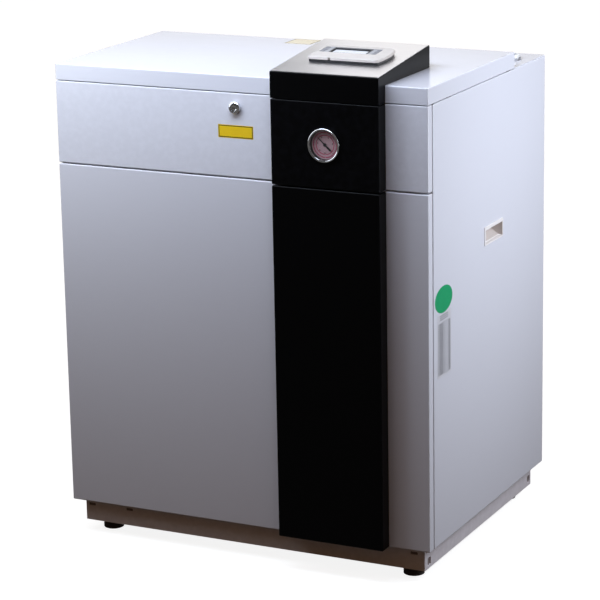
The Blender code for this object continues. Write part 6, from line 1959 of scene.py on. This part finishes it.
def studio_surround(sizes):
    """A white surround to the camera, white behind and a dim room in front in reflections, and a dim
    warm light for the rest."""
    world = bpy.data.worlds.new("studio surround")
    bpy.context.scene.world = world
    world.use_nodes = True
    tree = world.node_tree
    tree.nodes.clear()
    direct, reflection = ray_masks(tree)
    place = put(tree, "ShaderNodeTexCoord").outputs["Generated"]
    way = put(tree, "ShaderNodeSeparateXYZ", {0: place}).outputs["Y"]
    mirrored = result_of(tree, "ShaderNodeMapRange", {
        "Value": way, "From Min": -0.35, "From Max": 0.15, "To Min": sizes.room, "To Max": 1.0,
    })
    bright = (1, 1, 1, 1)
    dim, room, white = [
        result_of(tree, "ShaderNodeBackground", {"Color": tone, "Strength": strength})
        for tone, strength in (((1.0, 0.50, 0.20, 1), sizes.ambient), (bright, mirrored), (bright, 1.0))
    ]
    seen = mixed(tree, direct, mixed(tree, reflection, dim, room), white)
    put(tree, "ShaderNodeOutputWorld", {"Surface": seen})


def dark_card():
    """A dark card behind at the left that only reflections see; it shades the bright plate's near corner."""
    bm = bmesh.new()
    corners = ((-2.6, 1.05, 1.27), (-0.515, 1.05, 1.27), (-0.515, 1.05, 3.0), (-2.6, 1.05, 3.0))
    bm.faces.new([bm.verts.new(corner) for corner in corners])
    card = make_object("studio_flag", bm, finish("needle black"))
    card.visible_camera = False
    card.visible_diffuse = False
    card.visible_transmission = False
    card.visible_shadow = False


def area_lamp(name, place, target, width, depth, power, tint):
    data = bpy.data.lights.new(name, "AREA")
    data.shape = "RECTANGLE"
    data.size = width
    data.size_y = depth
    data.energy = power
    data.color = tint
    lamp = linked(name, data)
    lamp.location = place
    lamp.rotation_euler = (Vector(target) - Vector(place)).to_track_quat("-Z", "Y").to_euler()
    lamp.visible_camera = False


def photo_camera(sizes):
    data = bpy.data.cameras.new("photo camera")
    data.sensor_width = 36
    data.sensor_fit = "HORIZONTAL"
    data.lens = sizes.camera_lens
    data.clip_end = 60
    camera = linked("photo camera", data)
    turn = Matrix.Rotation(sizes.camera_turn, 4, "Z")
    tilt = Matrix.Rotation(math.pi / 2 - sizes.camera_tilt, 4, "X")
    roll = Matrix.Rotation(sizes.camera_roll, 4, "Z")
    camera.matrix_world = Matrix.Translation(sizes.camera_place) @ turn @ tilt @ roll
    bpy.context.scene.camera = camera


class HEATPUMP_OT_studio(bpy.types.Operator):
    """Makes the floor, the even surround, the lamps and the camera"""

    bl_idname = "heat_pump.studio"
    bl_label = "Studio"

    def execute(self, context):
        sizes = settings("studio")
        studio_floor(sizes)
        studio_surround(sizes)
        dark_card()
        area_lamp("overhead lamp", (0.01, -0.64, 1.66), (0, -0.1, 0.9), 1.0, 0.4, sizes.over_power,
                  (0.736, 0.834, 1))
        area_lamp("right lamp", (1.25, 0.115, 0.967), (0.4, 0, 0.7), 0.9, 0.9, sizes.right_power,
                  (0.827, 0.892, 1))
        area_lamp("left lamp", (-0.616, -0.626, 1.188), (-0.1, -0.285, 0.75), 0.7, 0.9, sizes.left_power,
                  (0.863, 0.924, 1))
        area_lamp("rear lamp", (-1.3, 1.2, 2.5), (0, 0.3, 0.7), 1.0, 1.0, sizes.rear_power, (0.92, 0.96, 1))
        photo_camera(sizes)
        bpy.context.scene.view_settings.view_transform = "Standard"
        return {"FINISHED"}


OPERATORS = (
    HEATPUMP_OT_side_panels,
    HEATPUMP_OT_rear_panel,
    HEATPUMP_OT_lower_front,
    HEATPUMP_OT_service_door,
    HEATPUMP_OT_lid,
    HEATPUMP_OT_base,
    HEATPUMP_OT_handles,
    HEATPUMP_OT_console,
    HEATPUMP_OT_controller,
    HEATPUMP_OT_gauge,
    HEATPUMP_OT_lock,
    HEATPUMP_OT_labels,
    HEATPUMP_OT_posts,
    HEATPUMP_OT_compartment,
    HEATPUMP_OT_board,
    HEATPUMP_OT_wiring,
    HEATPUMP_OT_compressor,
    HEATPUMP_OT_exchangers,
    HEATPUMP_OT_pipes,
    HEATPUMP_OT_pump,
    HEATPUMP_OT_gland,
    HEATPUMP_OT_studio,
)


class HEATPUMP_PT_builder(bpy.types.Panel):
    """Lists the operators that build the heat pump"""

    bl_idname = "HEATPUMP_PT_builder"
    bl_label = "Ground Source Heat Pump"
    bl_space_type = "VIEW_3D"
    bl_region_type = "UI"
    bl_category = "Heat Pump"

    def draw(self, context):
        for name, group in SETTINGS.items():
            box = self.layout.box()
            box.label(text=name.replace("_", " ").title())
            for prop in group.__annotations__:
                box.prop(getattr(context.scene, name), prop)
        for operator in OPERATORS:
            self.layout.operator(operator.bl_idname)


def register():
    for name, group in SETTINGS.items():
        bpy.utils.register_class(group)
        setattr(bpy.types.Scene, name, bpy.props.PointerProperty(type=group))
    for kind in (*OPERATORS, HEATPUMP_PT_builder):
        bpy.utils.register_class(kind)


def unregister():
    for kind in (HEATPUMP_PT_builder, *reversed(OPERATORS)):
        bpy.utils.unregister_class(kind)
    for name, group in reversed(SETTINGS.items()):
        delattr(bpy.types.Scene, name)
        bpy.utils.unregister_class(group)


def main():
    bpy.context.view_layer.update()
    register()
    for operator in OPERATORS:
        group, name = operator.bl_idname.split(".")
        getattr(getattr(bpy.ops, group), name)()


if __name__ == "__main__":
    main()
